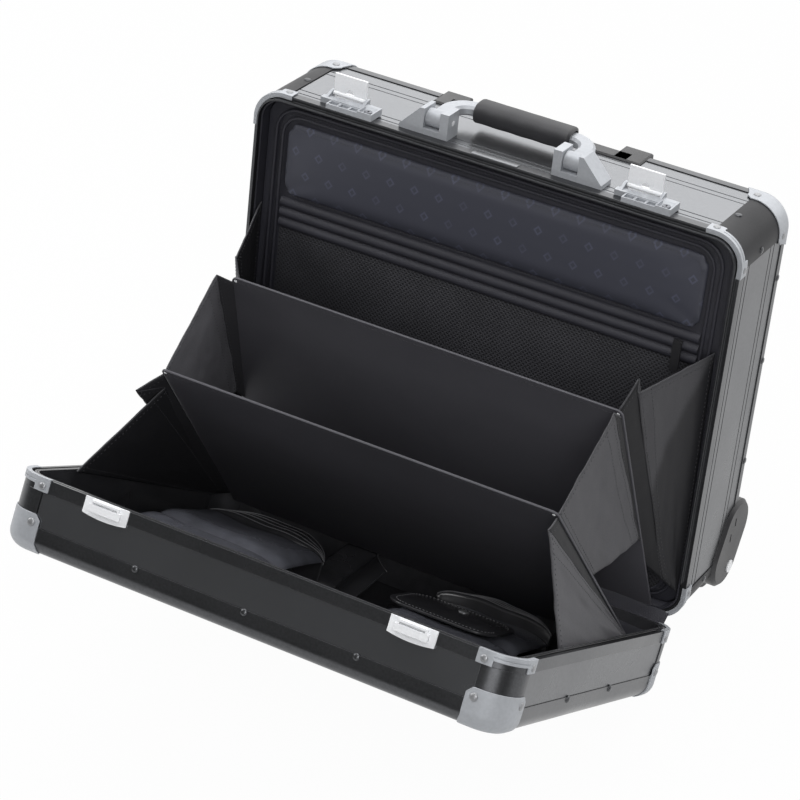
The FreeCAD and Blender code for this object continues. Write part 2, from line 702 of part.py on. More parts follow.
def pull_bezel():
    """Moulded tray in the recess: a floor that guides the tubes, a front wall, two solid ends, no back."""
    tray = box(-BEZEL_HALF, BEZEL_HALF, BEZEL_FRONT, BEZEL_BACK, BEZEL_LOW, BEZEL_TOP)
    tray = bevel_end(tray, Z_AXIS, BEZEL_TOP, BEZEL_BEVEL)
    half = PULL_GRIP_HALF + CLEARANCE
    room = box(-half, half, BEZEL_FRONT + BEZEL_WALL, BEZEL_BACK + WALL, BEZEL_LOW + BEZEL_FLOOR, BEZEL_TOP + WALL)
    return tray.cut([room] + tube_blocks(1, CLEARANCE, BEZEL_LOW - 1, BEZEL_TOP))


def pull_grip():
    """Grip bar of the pull handle, with sockets for the inner tubes and a pocket for the button."""
    front = BEZEL_FRONT + BEZEL_WALL + CLEARANCE
    bar = box(-PULL_GRIP_HALF, PULL_GRIP_HALF, front, BEZEL_BACK, PULL_GRIP_LOW, PULL_GRIP_HIGH)
    bar = bevel_end(bar, Z_AXIS, PULL_GRIP_HIGH, PULL_GRIP_BEVEL)
    sockets = tube_blocks(2, 0, PULL_GRIP_LOW - 1, PULL_GRIP_LOW + PULL_SOCKET)
    pocket = button_block(CLEARANCE, BUTTON_TRAVEL + CLEARANCE)
    return bar.cut(sockets + [pocket])


def button_block(room, sink):
    middle = (BEZEL_FRONT + BEZEL_BACK) / 2
    half = BUTTON_WIDTH / 2 + room
    high = PULL_GRIP_HIGH + BUTTON_PROUD
    return flat_slab(-BUTTON_HALF - room, BUTTON_HALF + room, middle - half, middle + half,
                     BUTTON_WIDTH / 4, high - BUTTON_HEIGHT - sink, high)


def release_button():
    return bevel_end(button_block(0, 0), Z_AXIS, PULL_GRIP_HIGH + BUTTON_PROUD, BUTTON_PROUD / 2)


# Carry handle

def lean_back(shape):
    """Set a carry handle piece, drawn upright about its pivot, in its resting place."""
    shape = shape.copy()
    shape.Placement = FreeCAD.Placement(HANDLE_PIVOT, FreeCAD.Rotation(X_AXIS, -HANDLE_LEAN))
    return shape


def handle_arch(half_thickness):
    """Flat arch of the carry handle, upright about its pivot."""
    out = HANDLE_ARM_X + HANDLE_ARM_WIDTH / 2
    inn = HANDLE_ARM_X - HANDLE_ARM_WIDTH / 2
    high = HANDLE_REACH + HANDLE_BAR / 2
    low = HANDLE_REACH - HANDLE_BAR / 2
    bend = HANDLE_BEND
    inner_bend = HANDLE_BEND - HANDLE_BAR
    start = -half_thickness

    def at(x, z):
        return V(x, start, z)

    outer = rounded_outline(-out, out, -high, high, bend, at)
    inner = rounded_outline(-inn, inn, -low, low, inner_bend, at)
    arch = Part.Face(outer).cut(Part.Face(inner)).extrude(V(0, 2 * half_thickness, 0))
    return arch.common(box(-CASE_WIDTH, CASE_WIDTH, -CASE_WIDTH, CASE_WIDTH, 0, CASE_WIDTH))


def handle_frame():
    """Cast arch with a drum at the foot of each arm."""
    arch = handle_arch(HANDLE_ARM_THICKNESS / 2)
    long_edges = [e for e in arch.Edges
                  if all(abs(abs(v.Point.y) - HANDLE_ARM_THICKNESS / 2) < 1e-6 for v in e.Vertexes)
                  and all(v.Point.z > 1e-6 for v in e.Vertexes)]
    arch = arch.makeChamfer(HANDLE_ARM_THICKNESS / 4, long_edges)
    pieces = [arch]
    for sx in SIDES:
        start = V(sx * HANDLE_ARM_X - HANDLE_ARM_WIDTH / 2, 0, 0)
        pieces.append(rod(start, X_AXIS, HANDLE_DRUM_RADIUS, HANDLE_ARM_WIDTH))
    frame = fuse_all(pieces)
    bore = rod(V(-CASE_WIDTH, 0, 0), X_AXIS, HANDLE_PIN_RADIUS + RUNNING, 2 * CASE_WIDTH)
    return lean_back(frame.cut(bore))


def carry_grip():
    """Rubber sleeve round the bar of the arch, drawn in at both ends."""
    x = GRIP_HALF
    outline = rounded_outline(-GRIP_THICK, GRIP_THICK, HANDLE_REACH - GRIP_DEEP, HANDLE_REACH + GRIP_DEEP,
                              GRIP_THICK * GRIP_CORNER, lambda y, z: V(-x, y, z))
    sleeve = Part.Face(outline).extrude(X_AXIS * 2 * x)
    for end in (-x, x):
        sleeve = bevel_end(sleeve, X_AXIS, end, GRIP_DRAW)
    return lean_back(sleeve.cut(handle_arch(HANDLE_ARM_THICKNESS / 2)))


def handle_bases():
    """Cast blocks with two ears round each drum; the outer flank slopes to the panel."""
    gap = HANDLE_ARM_WIDTH / 2 + CLEARANCE
    inn = HANDLE_ARM_X - gap - BASE_EAR
    out = HANDLE_ARM_X + gap + BASE_EAR / 2
    low = CASE_HEIGHT
    high = CASE_HEIGHT + BASE_HEIGHT
    y0 = HANDLE_PIVOT_DEPTH - BASE_WIDTH / 2
    bases = []
    for sx in SIDES:
        outline = [(inn, low), (inn, high), (out, high), (out + BASE_SLOPE, low + BASE_TOE),
                   (out + BASE_SLOPE, low)]
        base = prism([V(sx * x, y0, z) for x, z in outline], Y_AXIS * BASE_WIDTH)
        notch = box(sx * (HANDLE_ARM_X - gap), sx * (HANDLE_ARM_X + gap), y0 - 1, y0 + BASE_WIDTH + 1,
                    low + BASE_FLOOR, high + 1)
        pin = rod(V(sx * inn, HANDLE_PIVOT.y, HANDLE_PIVOT.z), X_AXIS * sx, HANDLE_PIN_RADIUS, out - inn)
        bases.append(base.cut([notch, pin]))
    return Part.makeCompound(bases)


def handle_pins():
    gap = HANDLE_ARM_WIDTH / 2 + CLEARANCE
    inn = HANDLE_ARM_X - gap - BASE_EAR
    out = HANDLE_ARM_X + gap + BASE_EAR / 2
    return Part.makeCompound([rod(V(sx * inn, HANDLE_PIVOT.y, HANDLE_PIVOT.z), X_AXIS * sx,
                                  HANDLE_PIN_RADIUS, out - inn) for sx in SIDES])


# Latches

def latch_base(xc):
    """Latch body: a ribbed tray at the rim, a tapered bar, a scooped lock end and two ears for the flap."""
    z = LATCH_BASE
    y0 = LATCH_START
    y1 = LATCH_START + LATCH_TRAY
    back = LATCH_DEPTH
    plate = box(xc - LATCH_HALF, xc + LATCH_HALF, y0, back, z, z + LATCH_PLATE)
    tray = box(xc - LATCH_HALF, xc + LATCH_LOCK_LEFT, y0, y1, z, z + LATCH_TRAY_HEIGHT)
    wall = LATCH_TRAY_WALL
    x = xc - LATCH_HALF + wall
    cells = []
    width = (LATCH_LOCK_LEFT + LATCH_HALF - wall - 2 * LATCH_RIB) / 3
    for i in range(3):
        x0 = x + i * (width + LATCH_RIB)
        cells.append(box(x0, x0 + width, y0 + wall, y1 - wall, z + LATCH_PLATE, z + 2 * LATCH_TRAY_HEIGHT))
    bar = prism([V(xc - LATCH_BAR_LEFT, y1, z), V(xc + LATCH_LOCK_LEFT, y1, z),
                 V(xc + LATCH_LOCK_LEFT, back, z), V(xc - LATCH_BAR_LEFT, y1 + LATCH_BAR_NARROW, z)],
                Z_AXIS * LATCH_BAR_HEIGHT)
    lock = box(xc + LATCH_LOCK_LEFT, xc + LATCH_HALF, y0, back, z, z + LATCH_LOCK_HEIGHT)
    width = LATCH_HALF - LATCH_LOCK_LEFT - 2 * LATCH_TRAY_WALL
    middle = V(xc + LOCK_X - width / 2, LOCK_DEPTH, z + LATCH_LOCK_HEIGHT + LATCH_SCOOP - LATCH_SCOOP_DEPTH)
    scoop = rod(middle, X_AXIS, LATCH_SCOOP, width)
    barrel = rod(V(xc + LOCK_X, LOCK_DEPTH, z + LATCH_TRAY_WALL), Z_AXIS, LOCK_RADIUS + RUNNING, LATCH_LOCK_HEIGHT)
    body = fuse_all([plate, tray.cut(cells), bar, lock.cut(scoop)]).cut(barrel)
    pieces = [body]
    for side, edge in ((-1, xc - FLAP_LEFT), (1, xc + FLAP_RIGHT)):
        x0 = edge + side * CLEARANCE
        rear = FLAP_PIVOT.y + FLAP_BARREL
        high = FLAP_PIVOT.z + FLAP_BARREL
        ear = prism([V(x0, y1 + LATCH_RIB, z), V(x0, y1 + LATCH_RIB, z + LATCH_BAR_HEIGHT),
                     V(x0, FLAP_PIVOT.y - FLAP_BARREL, high), V(x0, rear, high), V(x0, rear, z)],
                    X_AXIS * side * FLAP_EAR)
        pin = rod(V(x0, FLAP_PIVOT.y, FLAP_PIVOT.z), X_AXIS * -side, FLAP_PIN, FLAP_PIN_REACH)
        pieces += [ear, pin]
    return fuse_all(pieces)


def latch_bases():
    return Part.makeCompound([latch_base(xc) for xc in LATCH_CENTRES])


def latch_flap(xc):
    """Flap that folds forward over the keeper, with a half-round notch above its hinge barrel."""
    x0 = xc - FLAP_LEFT
    x1 = xc + FLAP_RIGHT
    y = FLAP_PIVOT.y
    z = FLAP_PIVOT.z
    plate = box(x0, x1, y - FLAP_THICKNESS / 2, y + FLAP_THICKNESS / 2, z, z + FLAP_REACH)
    barrel = rod(V(x0, y, z), X_AXIS, FLAP_BARREL, x1 - x0)
    middle = V((x0 + x1) / 2, y - FLAP_THICKNESS, z + FLAP_BARREL)
    notch = rod(middle, Y_AXIS, FLAP_NOTCH, 2 * FLAP_THICKNESS)
    notch = notch.common(box(x0, x1, y - WALL, y + WALL, z + FLAP_BARREL, z + FLAP_REACH))
    flap = fuse_all([plate, barrel]).cut(notch)
    reach = FLAP_PIN_REACH
    bores = [rod(V(x0, y, z), X_AXIS, FLAP_PIN + RUNNING, reach),
             rod(V(x1 - reach, y, z), X_AXIS, FLAP_PIN + RUNNING, reach)]
    return flap.cut(bores)


def lock_barrel(xc):
    """Key barrel in the scoop of a latch."""
    foot = V(xc + LOCK_X, LOCK_DEPTH, LATCH_BASE + LATCH_TRAY_WALL)
    barrel = rod(foot, Z_AXIS, LOCK_RADIUS, LOCK_HEIGHT)
    slot = box(foot.x - LOCK_SLOT / 2, foot.x + LOCK_SLOT / 2, foot.y - LOCK_RADIUS / 2, foot.y + LOCK_RADIUS / 2,
               foot.z + LOCK_HEIGHT / 2, foot.z + 2 * LOCK_HEIGHT)
    return barrel.cut(slot)


def keeper(xc):
    """Catch plate on the lid with a raised box and a slotted loop."""
    z = LATCH_BASE
    y0 = -LATCH_START
    y1 = y0 - KEEPER_DEPTH
    left = V(xc - KEEPER_HALF, y0, z)
    right = V(xc + KEEPER_HALF, y0, z)
    low_left = V(xc - KEEPER_HALF, y1, z)
    low_right = V(xc + KEEPER_HALF, y1, z)
    bulge = V(xc, y1 - KEEPER_BULGE, z)
    edges = [Part.LineSegment(left, right).toShape(), Part.LineSegment(right, low_right).toShape(),
             Part.Arc(low_right, bulge, low_left).toShape(), Part.LineSegment(low_left, left).toShape()]
    plate = Part.Face(Part.Wire(edges)).extrude(Z_AXIS * KEEPER_PLATE)
    loop_back = y0 - LATCH_START - KEEPER_LOOP
    body = box(xc - KEEPER_BOX_HALF, xc + KEEPER_BOX_HALF, loop_back - KEEPER_BOX_DEPTH, loop_back,
               z, z + KEEPER_HEIGHT)
    loop = box(xc - KEEPER_LOOP_HALF, xc + KEEPER_LOOP_HALF, loop_back, loop_back + KEEPER_LOOP,
               z, z + KEEPER_HEIGHT)
    inset = KEEPER_SLOT
    slot = box(xc - KEEPER_LOOP_HALF + inset, xc + KEEPER_LOOP_HALF - inset, loop_back,
               loop_back + KEEPER_SLOT, z + KEEPER_PLATE, z + 2 * KEEPER_HEIGHT)
    return fuse_all([plate, body, loop]).cut(slot)


def keepers():
    return Part.makeCompound([keeper(xc) for xc in LATCH_CENTRES])


# Linings

def main_lining():
    """Band of lining board inside the rear shell."""
    outer = -MAIN_RIM_WIDTH - FIT
    far = MAIN_DEPTH - WALL - PLATE - FIT
    band = shell_ring(MAIN, RIM_GAP + FLANGE, far, outer, outer - LINING)
    return band.cut(wheel_cuts() + [pull_recess(FIT)])


def lid_lining():
    """Tray of lining board inside the lid."""
    outer = -LID_RIM_WIDTH - FIT
    far = LID_DEPTH - WALL - PLATE - FIT
    tray = bevel_end(shell_block(LID, RIM_GAP + FLANGE, far, outer), Y_AXIS, -far, LINING)
    return tray.cut(shell_block(LID, -WALL, far - LINING, outer - LINING))


def lid_organiser():
    """Pad with flat pockets on the floor of the lid."""
    floor = LID_DEPTH - WALL - PLATE - FIT - LINING
    pad = upright_slab(-ORGANISER_HALF, ORGANISER_HALF, ORGANISER_LOW, ORGANISER_HIGH, PAD_CORNER,
                       -floor, -floor + ORGANISER)
    return bevel_end(pad, Y_AXIS, -floor + ORGANISER, ORGANISER / 2)


def compartment_panel():
    """Board across the mouth of the rear shell, with a crowned pad along its top."""
    grow = -MAIN_RIM_WIDTH - 2 * FIT - LINING
    board = shell_block(MAIN, PANEL_DEPTH, PANEL_DEPTH + PANEL, grow)
    pad = upright_slab(-PAD_HALF, PAD_HALF, PAD_LOW, PAD_HIGH, PAD_CORNER, PANEL_DEPTH, PANEL_DEPTH - PAD_CROWN)
    pad = bevel_end(pad, Y_AXIS, PANEL_DEPTH - PAD_CROWN, PAD_BEVEL)
    return fuse_all([board, pad])


def pocket_zip_band():
    """Band with two rolled ribs that holds the pocket's zip."""
    front = PANEL_DEPTH - ZIP_THICKNESS
    band = box(-PAD_HALF, PAD_HALF, front, PANEL_DEPTH, ZIP_LOW, PAD_LOW)
    third = (PAD_LOW - ZIP_LOW) / 4
    ribs = [rod(V(-PAD_HALF, front + ZIP_RIB / 2, z), X_AXIS, ZIP_RIB, 2 * PAD_HALF)
            for z in (ZIP_LOW + third, PAD_LOW - third)]
    half = box(-PAD_HALF, PAD_HALF, front - ZIP_RIB, PANEL_DEPTH, ZIP_LOW, PAD_LOW)
    return fuse_all([band] + ribs).common(half)


def mesh_pocket():
    """Flat mesh pocket below the zip band."""
    front = PANEL_DEPTH - POCKET_THICKNESS
    pocket = upright_slab(-PAD_HALF, PAD_HALF, POCKET_LOW, ZIP_LOW, PAD_CORNER / 2, PANEL_DEPTH, front)
    return bevel_end(pocket, Y_AXIS, front, POCKET_THICKNESS / 2)


def zip_slider():
    """Slider of the pocket's zip with its hanging puller, in the groove between the two ribs."""
    front = PANEL_DEPTH - ZIP_THICKNESS - CLEARANCE
    z = (ZIP_LOW + PAD_LOW) / 2
    half = SLIDER_WIDTH / 2
    body = box(SLIDER_X - half, SLIDER_X + half, front - SLIDER_THICKNESS, front,
               z - SLIDER_HEIGHT / 2, z + SLIDER_HEIGHT / 2)
    hang = front - SLIDER_THICKNESS
    puller = upright_slab(SLIDER_X - half, SLIDER_X + half, z - PULLER_LENGTH, z + half, half - FIT,
                          hang, hang - SLIDER_THICKNESS)
    return fuse_all([body, puller])


# Dividers and gussets

def divider(low, high, y0, y1):
    """Tapered divider board as it stands in the closed case."""
    outline = [V(-DIVIDER_LOW_HALF, y0, low), V(DIVIDER_LOW_HALF, y0, low),
               V(DIVIDER_HIGH_HALF, y0, high), V(-DIVIDER_HIGH_HALF, y0, high)]
    board = prism(outline, V(0, y1 - y0, 0))
    edges = [e for e in board.Edges if all(abs(v.Point.z - high) < 1e-6 for v in e.Vertexes)
             and abs(e.Vertexes[0].Point.x - e.Vertexes[1].Point.x) < 1e-6]
    return board.makeFillet(DIVIDER_CORNER, edges)


def divider_rear():
    return divider(DIVIDER_LOW, REAR_DIVIDER_HIGH, DIVIDER_GAP, DIVIDER_GAP + DIVIDER)


def divider_front():
    """Front divider, which folds in the lid on its own rounded lower edge."""
    y = FRONT_POINT.y
    board = divider(FRONT_POINT.z, FRONT_DIVIDER_HIGH, y - DIVIDER / 2, y + DIVIDER / 2)
    edge = rod(FRONT_POINT - X_AXIS * DIVIDER_LOW_HALF, X_AXIS, DIVIDER / 2, 2 * DIVIDER_LOW_HALF)
    return fuse_all([board, edge])


def turned(angle, point):
    """Placement that turns about an axis through a point, along X."""
    return FreeCAD.Placement(V(0, 0, 0), FreeCAD.Rotation(X_AXIS, angle), point)


def fan_point(x, radius, angle):
    """Point at a distance from the hinge, on a plane swung forward by an angle."""
    turn = math.radians(angle)
    return V(x, HINGE_POINT.y - radius * math.sin(turn), HINGE_POINT.z + radius * math.cos(turn))


def flat_face(points):
    """Flat face between three points."""
    return Part.Face(Part.makePolygon(list(points) + [points[0]]))


def cloth(points, triangles):
    """Closed solid of a folded sheet, given its points and the triangles between them."""
    normals = [V(0, 0, 0) for point in points]
    for a, b, c in triangles:
        normal = (points[b] - points[a]).cross(points[c] - points[a]).normalize()
        for i in (a, b, c):
            normals[i] = normals[i] + normal
    halves = [normal.normalize() * (GUSSET / 2) for normal in normals]
    upper = [point + half for point, half in zip(points, halves)]
    lower = [point - half for point, half in zip(points, halves)]
    faces = []
    edges = [(t[i], t[(i + 1) % 3]) for t in triangles for i in range(3)]
    for a, b, c in triangles:
        faces += [flat_face((upper[a], upper[b], upper[c])), flat_face((lower[c], lower[b], lower[a]))]
    for a, b in edges:
        if (b, a) not in edges:
            faces += [flat_face((upper[b], upper[a], lower[a])), flat_face((upper[b], lower[a], lower[b]))]
    sheet = Part.makeSolid(Part.makeShell(faces))
    if sheet.Volume < 0:
        sheet.reverse()
    return sheet


def fan_poses():
    """Placements of the groups in the open case: both dividers follow the lid."""
    lid = turned(OPEN_ANGLE, HINGE_POINT)
    shift = FreeCAD.Placement(lid.multVec(FRONT_POINT) - FRONT_POINT, FreeCAD.Rotation())
    return {"main": FreeCAD.Placement(), "lid": lid, "rear": turned(REAR_SWING, HINGE_POINT),
            "front": shift.multiply(turned(FRONT_SWING, FRONT_POINT))}


def board_seam(sx, low, high, y, pose):
    """Lower and upper end of the line along which a gusset is sewn to a divider's side."""
    taper = (DIVIDER_LOW_HALF - DIVIDER_HIGH_HALF) / (high - low)
    ends = []
    for z in (GUSSET_LOW, high - DIVIDER_CORNER - CLEARANCE):
        x = DIVIDER_LOW_HALF - taper * (z - low) + GUSSET_SEAM
        ends.append(pose.multVec(V(sx * x, y, z)))
    return ends


def rear_seam(sx, face):
    """Seam on the rear divider, near its front or rear face."""
    return board_seam(sx, DIVIDER_LOW, REAR_DIVIDER_HIGH, BOARD_MIDDLE + face * GUSSET, POSES["rear"])


def front_seam(sx, face):
    """Seam on the front divider, near its front or rear face."""
    return board_seam(sx, FRONT_POINT.z, FRONT_DIVIDER_HIGH, FRONT_POINT.y + face * GUSSET, POSES["front"])


def shell_seam(sx, inner, low_y, high_y, pose):
    """Lower and upper end of the line along which a gusset is sewn to a shell's lining."""
    x = sx * (HALF_WIDTH + inner - GUSSET_SEAM)
    return [pose.multVec(V(x, low_y, GUSSET_LOW)), pose.multVec(V(x, high_y, GUSSET_HIGH))]


def gusset(sx, first, last, fold):
    """Cloth side between two planes of the fan, with one fold that runs up from its lower end."""
    root = (first[0] + last[0]) / 2
    root.x = sx * GUSSET_ROOT_X
    points = [first[0], first[1], fold, last[1], last[0], root]
    return cloth(points, [(0, 1, 2), (0, 2, 5), (5, 2, 3), (5, 3, 4)])


def rear_gussets():
    inner = -MAIN_RIM_WIDTH - FIT - LINING
    pairs = []
    for sx in SIDES:
        shell = shell_seam(sx, inner, GUSSET_HOLD, GUSSET_HOLD, POSES["main"])
        fold = fan_point(sx * GUSSET_FOLD_X, GUSSET_FOLD_RADIUS, REAR_SWING - GUSSET_FOLD_ANGLE)
        pairs.append(gusset(sx, shell, rear_seam(sx, MAIN), fold))
    return Part.makeCompound(pairs)


def middle_gussets():
    pairs = []
    for sx in SIDES:
        fold = fan_point(sx * GUSSET_FOLD_X, GUSSET_FOLD_RADIUS, REAR_SWING + GUSSET_FOLD_ANGLE)
        pairs.append(gusset(sx, front_seam(sx, MAIN), rear_seam(sx, LID), fold))
    return Part.makeCompound(pairs)


def front_gussets():
    """Front pair, sewn to the lid's lining along a line that runs down to the front divider's fold."""
    inner = -LID_RIM_WIDTH - FIT - LINING
    pairs = []
    for sx in SIDES:
        shell = shell_seam(sx, inner, FRONT_POINT.y, -2 * GUSSET_HOLD, POSES["lid"])
        tip = V(sx * GUSSET_FOLD_X, FRONT_POINT.y - GUSSET_TIP, FRONT_DIVIDER_HIGH - DIVIDER_CORNER)
        pairs.append(gusset(sx, shell, front_seam(sx, LID), POSES["front"].multVec(tip)))
    return Part.makeCompound(pairs)


# The pose in which the open case stands

def standing_lean():
    """Angle at which the case leans back on its wheels and on the caps of its open lid."""
    cap = V(0, -(LID_DEPTH - LID_EDGE_ROUND), LID_EDGE_ROUND - PROUD)
    cap = turned(OPEN_ANGLE, HINGE_POINT).multVec(cap)
    run = WHEEL_POINT - cap
    drop = (WHEEL_RADIUS - LID_EDGE_ROUND - CAP) / run.Length
    return math.degrees(math.atan2(run.z, run.y) - math.asin(drop))


LEAN = standing_lean()
REAR_SWING = OPEN_ANGLE / 3
POSES = fan_poses()

NODES = {
    "main_top_panel": (main_top_panel(), "main"),
    "main_bottom_panel": (level_panel(MAIN, 0, WALL, 0).cut(wheel_cuts()), "main"),
    "main_side_panels": (side_panels(MAIN), "main"),
    "main_corner_columns": (corner_columns(MAIN), "main"),
    "main_rim_profile": (main_rim_profile(), "main"),
    "main_rim_brackets": (rim_brackets(MAIN), "main"),
    "rear_edge_profile": (rear_edge_profile(), "main"),
    "rear_panel": (rear_panel(), "main"),
    "rear_corner_caps": (rear_corner_caps(), "main"),
    "main_hinge_leaf": (hinge_leaf(MAIN), "main"),
    "hinge_pin": (hinge_pin(), "main"),
    "wheel_housings": (wheel_housings(), "main"),
    "wheel_axles": (wheel_axles(), "main"),
    "wheel_hub_left": (wheel_hub(-1), "main"),
    "wheel_hub_right": (wheel_hub(1), "main"),
    "wheel_tyre_left": (wheel_tyre(-1), "main"),
    "wheel_tyre_right": (wheel_tyre(1), "main"),
    "feet": (feet(), "main"),
    "pull_outer_tubes": (tube_pair(0, TUBE_FOOT, BEZEL_LOW - FIT), "main"),
    "pull_middle_tubes": (tube_pair(1, TUBE_FOOT + TUBE_STAGGER, BEZEL_LOW + BEZEL_FLOOR), "main"),
    "pull_inner_tubes": (tube_pair(2, TUBE_FOOT + 2 * TUBE_STAGGER, PULL_GRIP_LOW + PULL_SOCKET), "main"),
    "pull_bezel": (pull_bezel(), "main"),
    "pull_grip": (pull_grip(), "main"),
    "release_button": (release_button(), "main"),
    "handle_bases": (handle_bases(), "main"),
    "handle_pins": (handle_pins(), "main"),
    "handle_frame": (handle_frame(), "main"),
    "carry_grip": (carry_grip(), "main"),
    "latch_bases": (latch_bases(), "main"),
    "latch_flap_left": (latch_flap(LATCH_CENTRES[0]), "main"),
    "latch_flap_right": (latch_flap(LATCH_CENTRES[1]), "main"),
    "lock_barrel_left": (lock_barrel(LATCH_CENTRES[0]), "main"),
    "lock_barrel_right": (lock_barrel(LATCH_CENTRES[1]), "main"),
    "main_lining": (main_lining(), "main"),
    "compartment_panel": (compartment_panel(), "main"),
    "pocket_zip_band": (pocket_zip_band(), "main"),
    "mesh_pocket": (mesh_pocket(), "main"),
    "zip_slider": (zip_slider(), "main"),
    "lid_front_panel": (lid_front_panel(), "lid"),
    "lid_top_panel": (level_panel(LID, CASE_HEIGHT - WALL, CASE_HEIGHT, CASE_HEIGHT), "lid"),
    "lid_bottom_panel": (level_panel(LID, 0, WALL, 0), "lid"),
    "lid_side_panels": (side_panels(LID), "lid"),
    "lid_corner_columns": (corner_columns(LID), "lid"),
    "lid_rim_profile": (lid_rim_profile(), "lid"),
    "lid_rim_brackets": (rim_brackets(LID), "lid"),
    "lid_edge_profile": (lid_edge_profile(), "lid"),
    "lid_corner_caps": (lid_corner_caps(), "lid"),
    "lid_hinge_leaf": (hinge_leaf(LID), "lid"),
    "lid_lining": (lid_lining(), "lid"),
    "lid_organiser": (lid_organiser(), "lid"),
    "keepers": (keepers(), "lid"),
    "divider_rear": (divider_rear(), "rear"),
    "divider_front": (divider_front(), "front"),
    "rear_gussets": (rear_gussets(), "main"),
    "middle_gussets": (middle_gussets(), "main"),
    "front_gussets": (front_gussets(), "main"),
}


def stand(shapes):
    """Lean every piece back, then set the lowest point on the floor and the middle over the origin."""
    lean = turned(-LEAN, V(0, 0, 0))
    swung = {}
    for name, (shape, group) in shapes.items():
        shape = shape.copy()
        pose = lean.multiply(POSES[group])
        shape.Placement = pose.multiply(shape.Placement)
        swung[name] = shape
    boxes = [s.optimalBoundingBox(False, False) for s in swung.values()]
    floor = lean.multVec(WHEEL_POINT).z - WHEEL_RADIUS
    middle = (min(b.YMin for b in boxes) + max(b.YMax for b in boxes)) / 2
    shift = V(0, -middle, -floor)
    for shape in swung.values():
        shape.translate(shift)
    return swung, FreeCAD.Placement(shift, FreeCAD.Rotation()).multiply(lean)


PIECES, CASE_POSE = stand(NODES)

os.makedirs("parts", exist_ok=True)
for node, piece in PIECES.items():
    piece.exportStep(os.path.join("parts", node + ".step"))
print("lean", round(LEAN, 3), "pieces", len(PIECES))
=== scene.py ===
# %% [markdown]
# # A rolling briefcase, standing open
#
# The hard shell of this case comes from a CAD model.  In this lesson we dress it: we give every panel and
# casting its finish, sew the soft pieces that fold between the shells, and light it like a studio
# picture.  The lengths of the new pieces are in millimetres of the upright case, because that is how a
# case maker cuts them.  One matrix per moving part then sets them in the open, leaning case.

# %% Load the hard shell
import json
import math
import bpy
import bmesh
from mathutils import Matrix, Vector, noise


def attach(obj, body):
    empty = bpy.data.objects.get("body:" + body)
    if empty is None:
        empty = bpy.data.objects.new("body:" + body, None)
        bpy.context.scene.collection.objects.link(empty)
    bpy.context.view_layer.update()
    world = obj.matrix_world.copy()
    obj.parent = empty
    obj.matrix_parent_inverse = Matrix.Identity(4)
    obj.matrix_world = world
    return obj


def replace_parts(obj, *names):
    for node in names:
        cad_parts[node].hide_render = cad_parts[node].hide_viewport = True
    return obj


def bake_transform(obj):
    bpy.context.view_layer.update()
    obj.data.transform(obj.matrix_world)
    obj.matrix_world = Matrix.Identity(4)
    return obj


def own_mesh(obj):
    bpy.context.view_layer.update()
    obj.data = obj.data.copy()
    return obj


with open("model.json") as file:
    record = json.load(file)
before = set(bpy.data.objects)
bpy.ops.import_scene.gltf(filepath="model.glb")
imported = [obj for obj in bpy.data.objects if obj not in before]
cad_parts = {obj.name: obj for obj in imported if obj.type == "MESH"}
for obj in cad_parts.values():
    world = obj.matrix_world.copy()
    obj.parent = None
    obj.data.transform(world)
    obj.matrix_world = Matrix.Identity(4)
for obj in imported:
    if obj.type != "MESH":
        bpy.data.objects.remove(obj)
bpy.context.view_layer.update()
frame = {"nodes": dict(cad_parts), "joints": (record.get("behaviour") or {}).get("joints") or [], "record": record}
nodes = frame["nodes"]
joints = {j["name"]: j for j in frame["joints"]}

# %% [markdown]
# The case leans back on its wheels.  The slide of the pull handle runs straight up the case, so its
# direction gives the lean, and the hinge of the lid gives a point that stays put when the lid swings.
# The rear divider opens a third as far as the lid about the same line, and the front one swings about its
# own fold line.

# %% Places in the closed case
MM = 0.001
RIGHT = Vector((1, 0, 0))
UP = Vector(joints["pull_lower_slide"]["axis"]).normalized()
BACK = UP.cross(RIGHT)
HINGE = Vector(joints["lid_hinge"]["pos_m"])
FOLD = Vector(joints["front_divider_fold"]["pos_m"])
OPEN = math.radians(joints["lid_hinge"]["range_deg"][1])
FRONT_SWING = OPEN + math.radians(joints["front_divider_fold"]["range_deg"][0])
LEAN = math.atan2(UP.y, UP.z)
DRAWN_HINGE, DRAWN_FOLD = (0, 0, -4.0), (0, -31.0, 11.2)


def swing(angle, pivot=HINGE, drawn=DRAWN_HINGE):
    """Matrix from closed-case millimetres to standing-case metres, swung forward about a pivot."""
    axes = Matrix((RIGHT, BACK, UP)).transposed().to_4x4()
    turn = Matrix.Rotation(angle, 4, "X")
    to_pivot = Matrix.Translation(drawn).inverted()
    return Matrix.Translation(pivot) @ axes @ turn @ Matrix.Scale(MM, 4) @ to_pivot


PLACE = {
    "main": swing(0),
    "carry_handle": swing(0),
    "divider_rear": swing(OPEN / 3),
    "divider_front": swing(FRONT_SWING, FOLD, DRAWN_FOLD),
    "lid": swing(OPEN),
}
print("the case leans back by", round(math.degrees(LEAN), 2), "degrees")

# %% [markdown]
# ## Finishes
#
# A finish is more than a colour.  Anodised sheet has a fine grain along the rolling direction, a casting
# is slightly cloudy, cloth has threads.  A picture wrapped round each piece could show that, but every
# panel would need its own map.  Instead each finish starts from one colour and one roughness, and noise
# in the object's own space moves both a little and raises a relief.

# %% Material helpers
def link(tree, source, target):
    tree.links.new(source, target)


def start_material(name, color, rough, metal, sockets):
    material = bpy.data.materials.new(name)
    material.use_nodes = True
    tree = material.node_tree
    shader = tree.nodes["Principled BSDF"]
    shader.inputs["Base Color"].default_value = (*color, 1)
    shader.inputs["Roughness"].default_value = rough
    shader.inputs["Metallic"].default_value = metal
    for socket, value in sockets.items():
        shader.inputs[socket].default_value = value
    return material, tree, shader


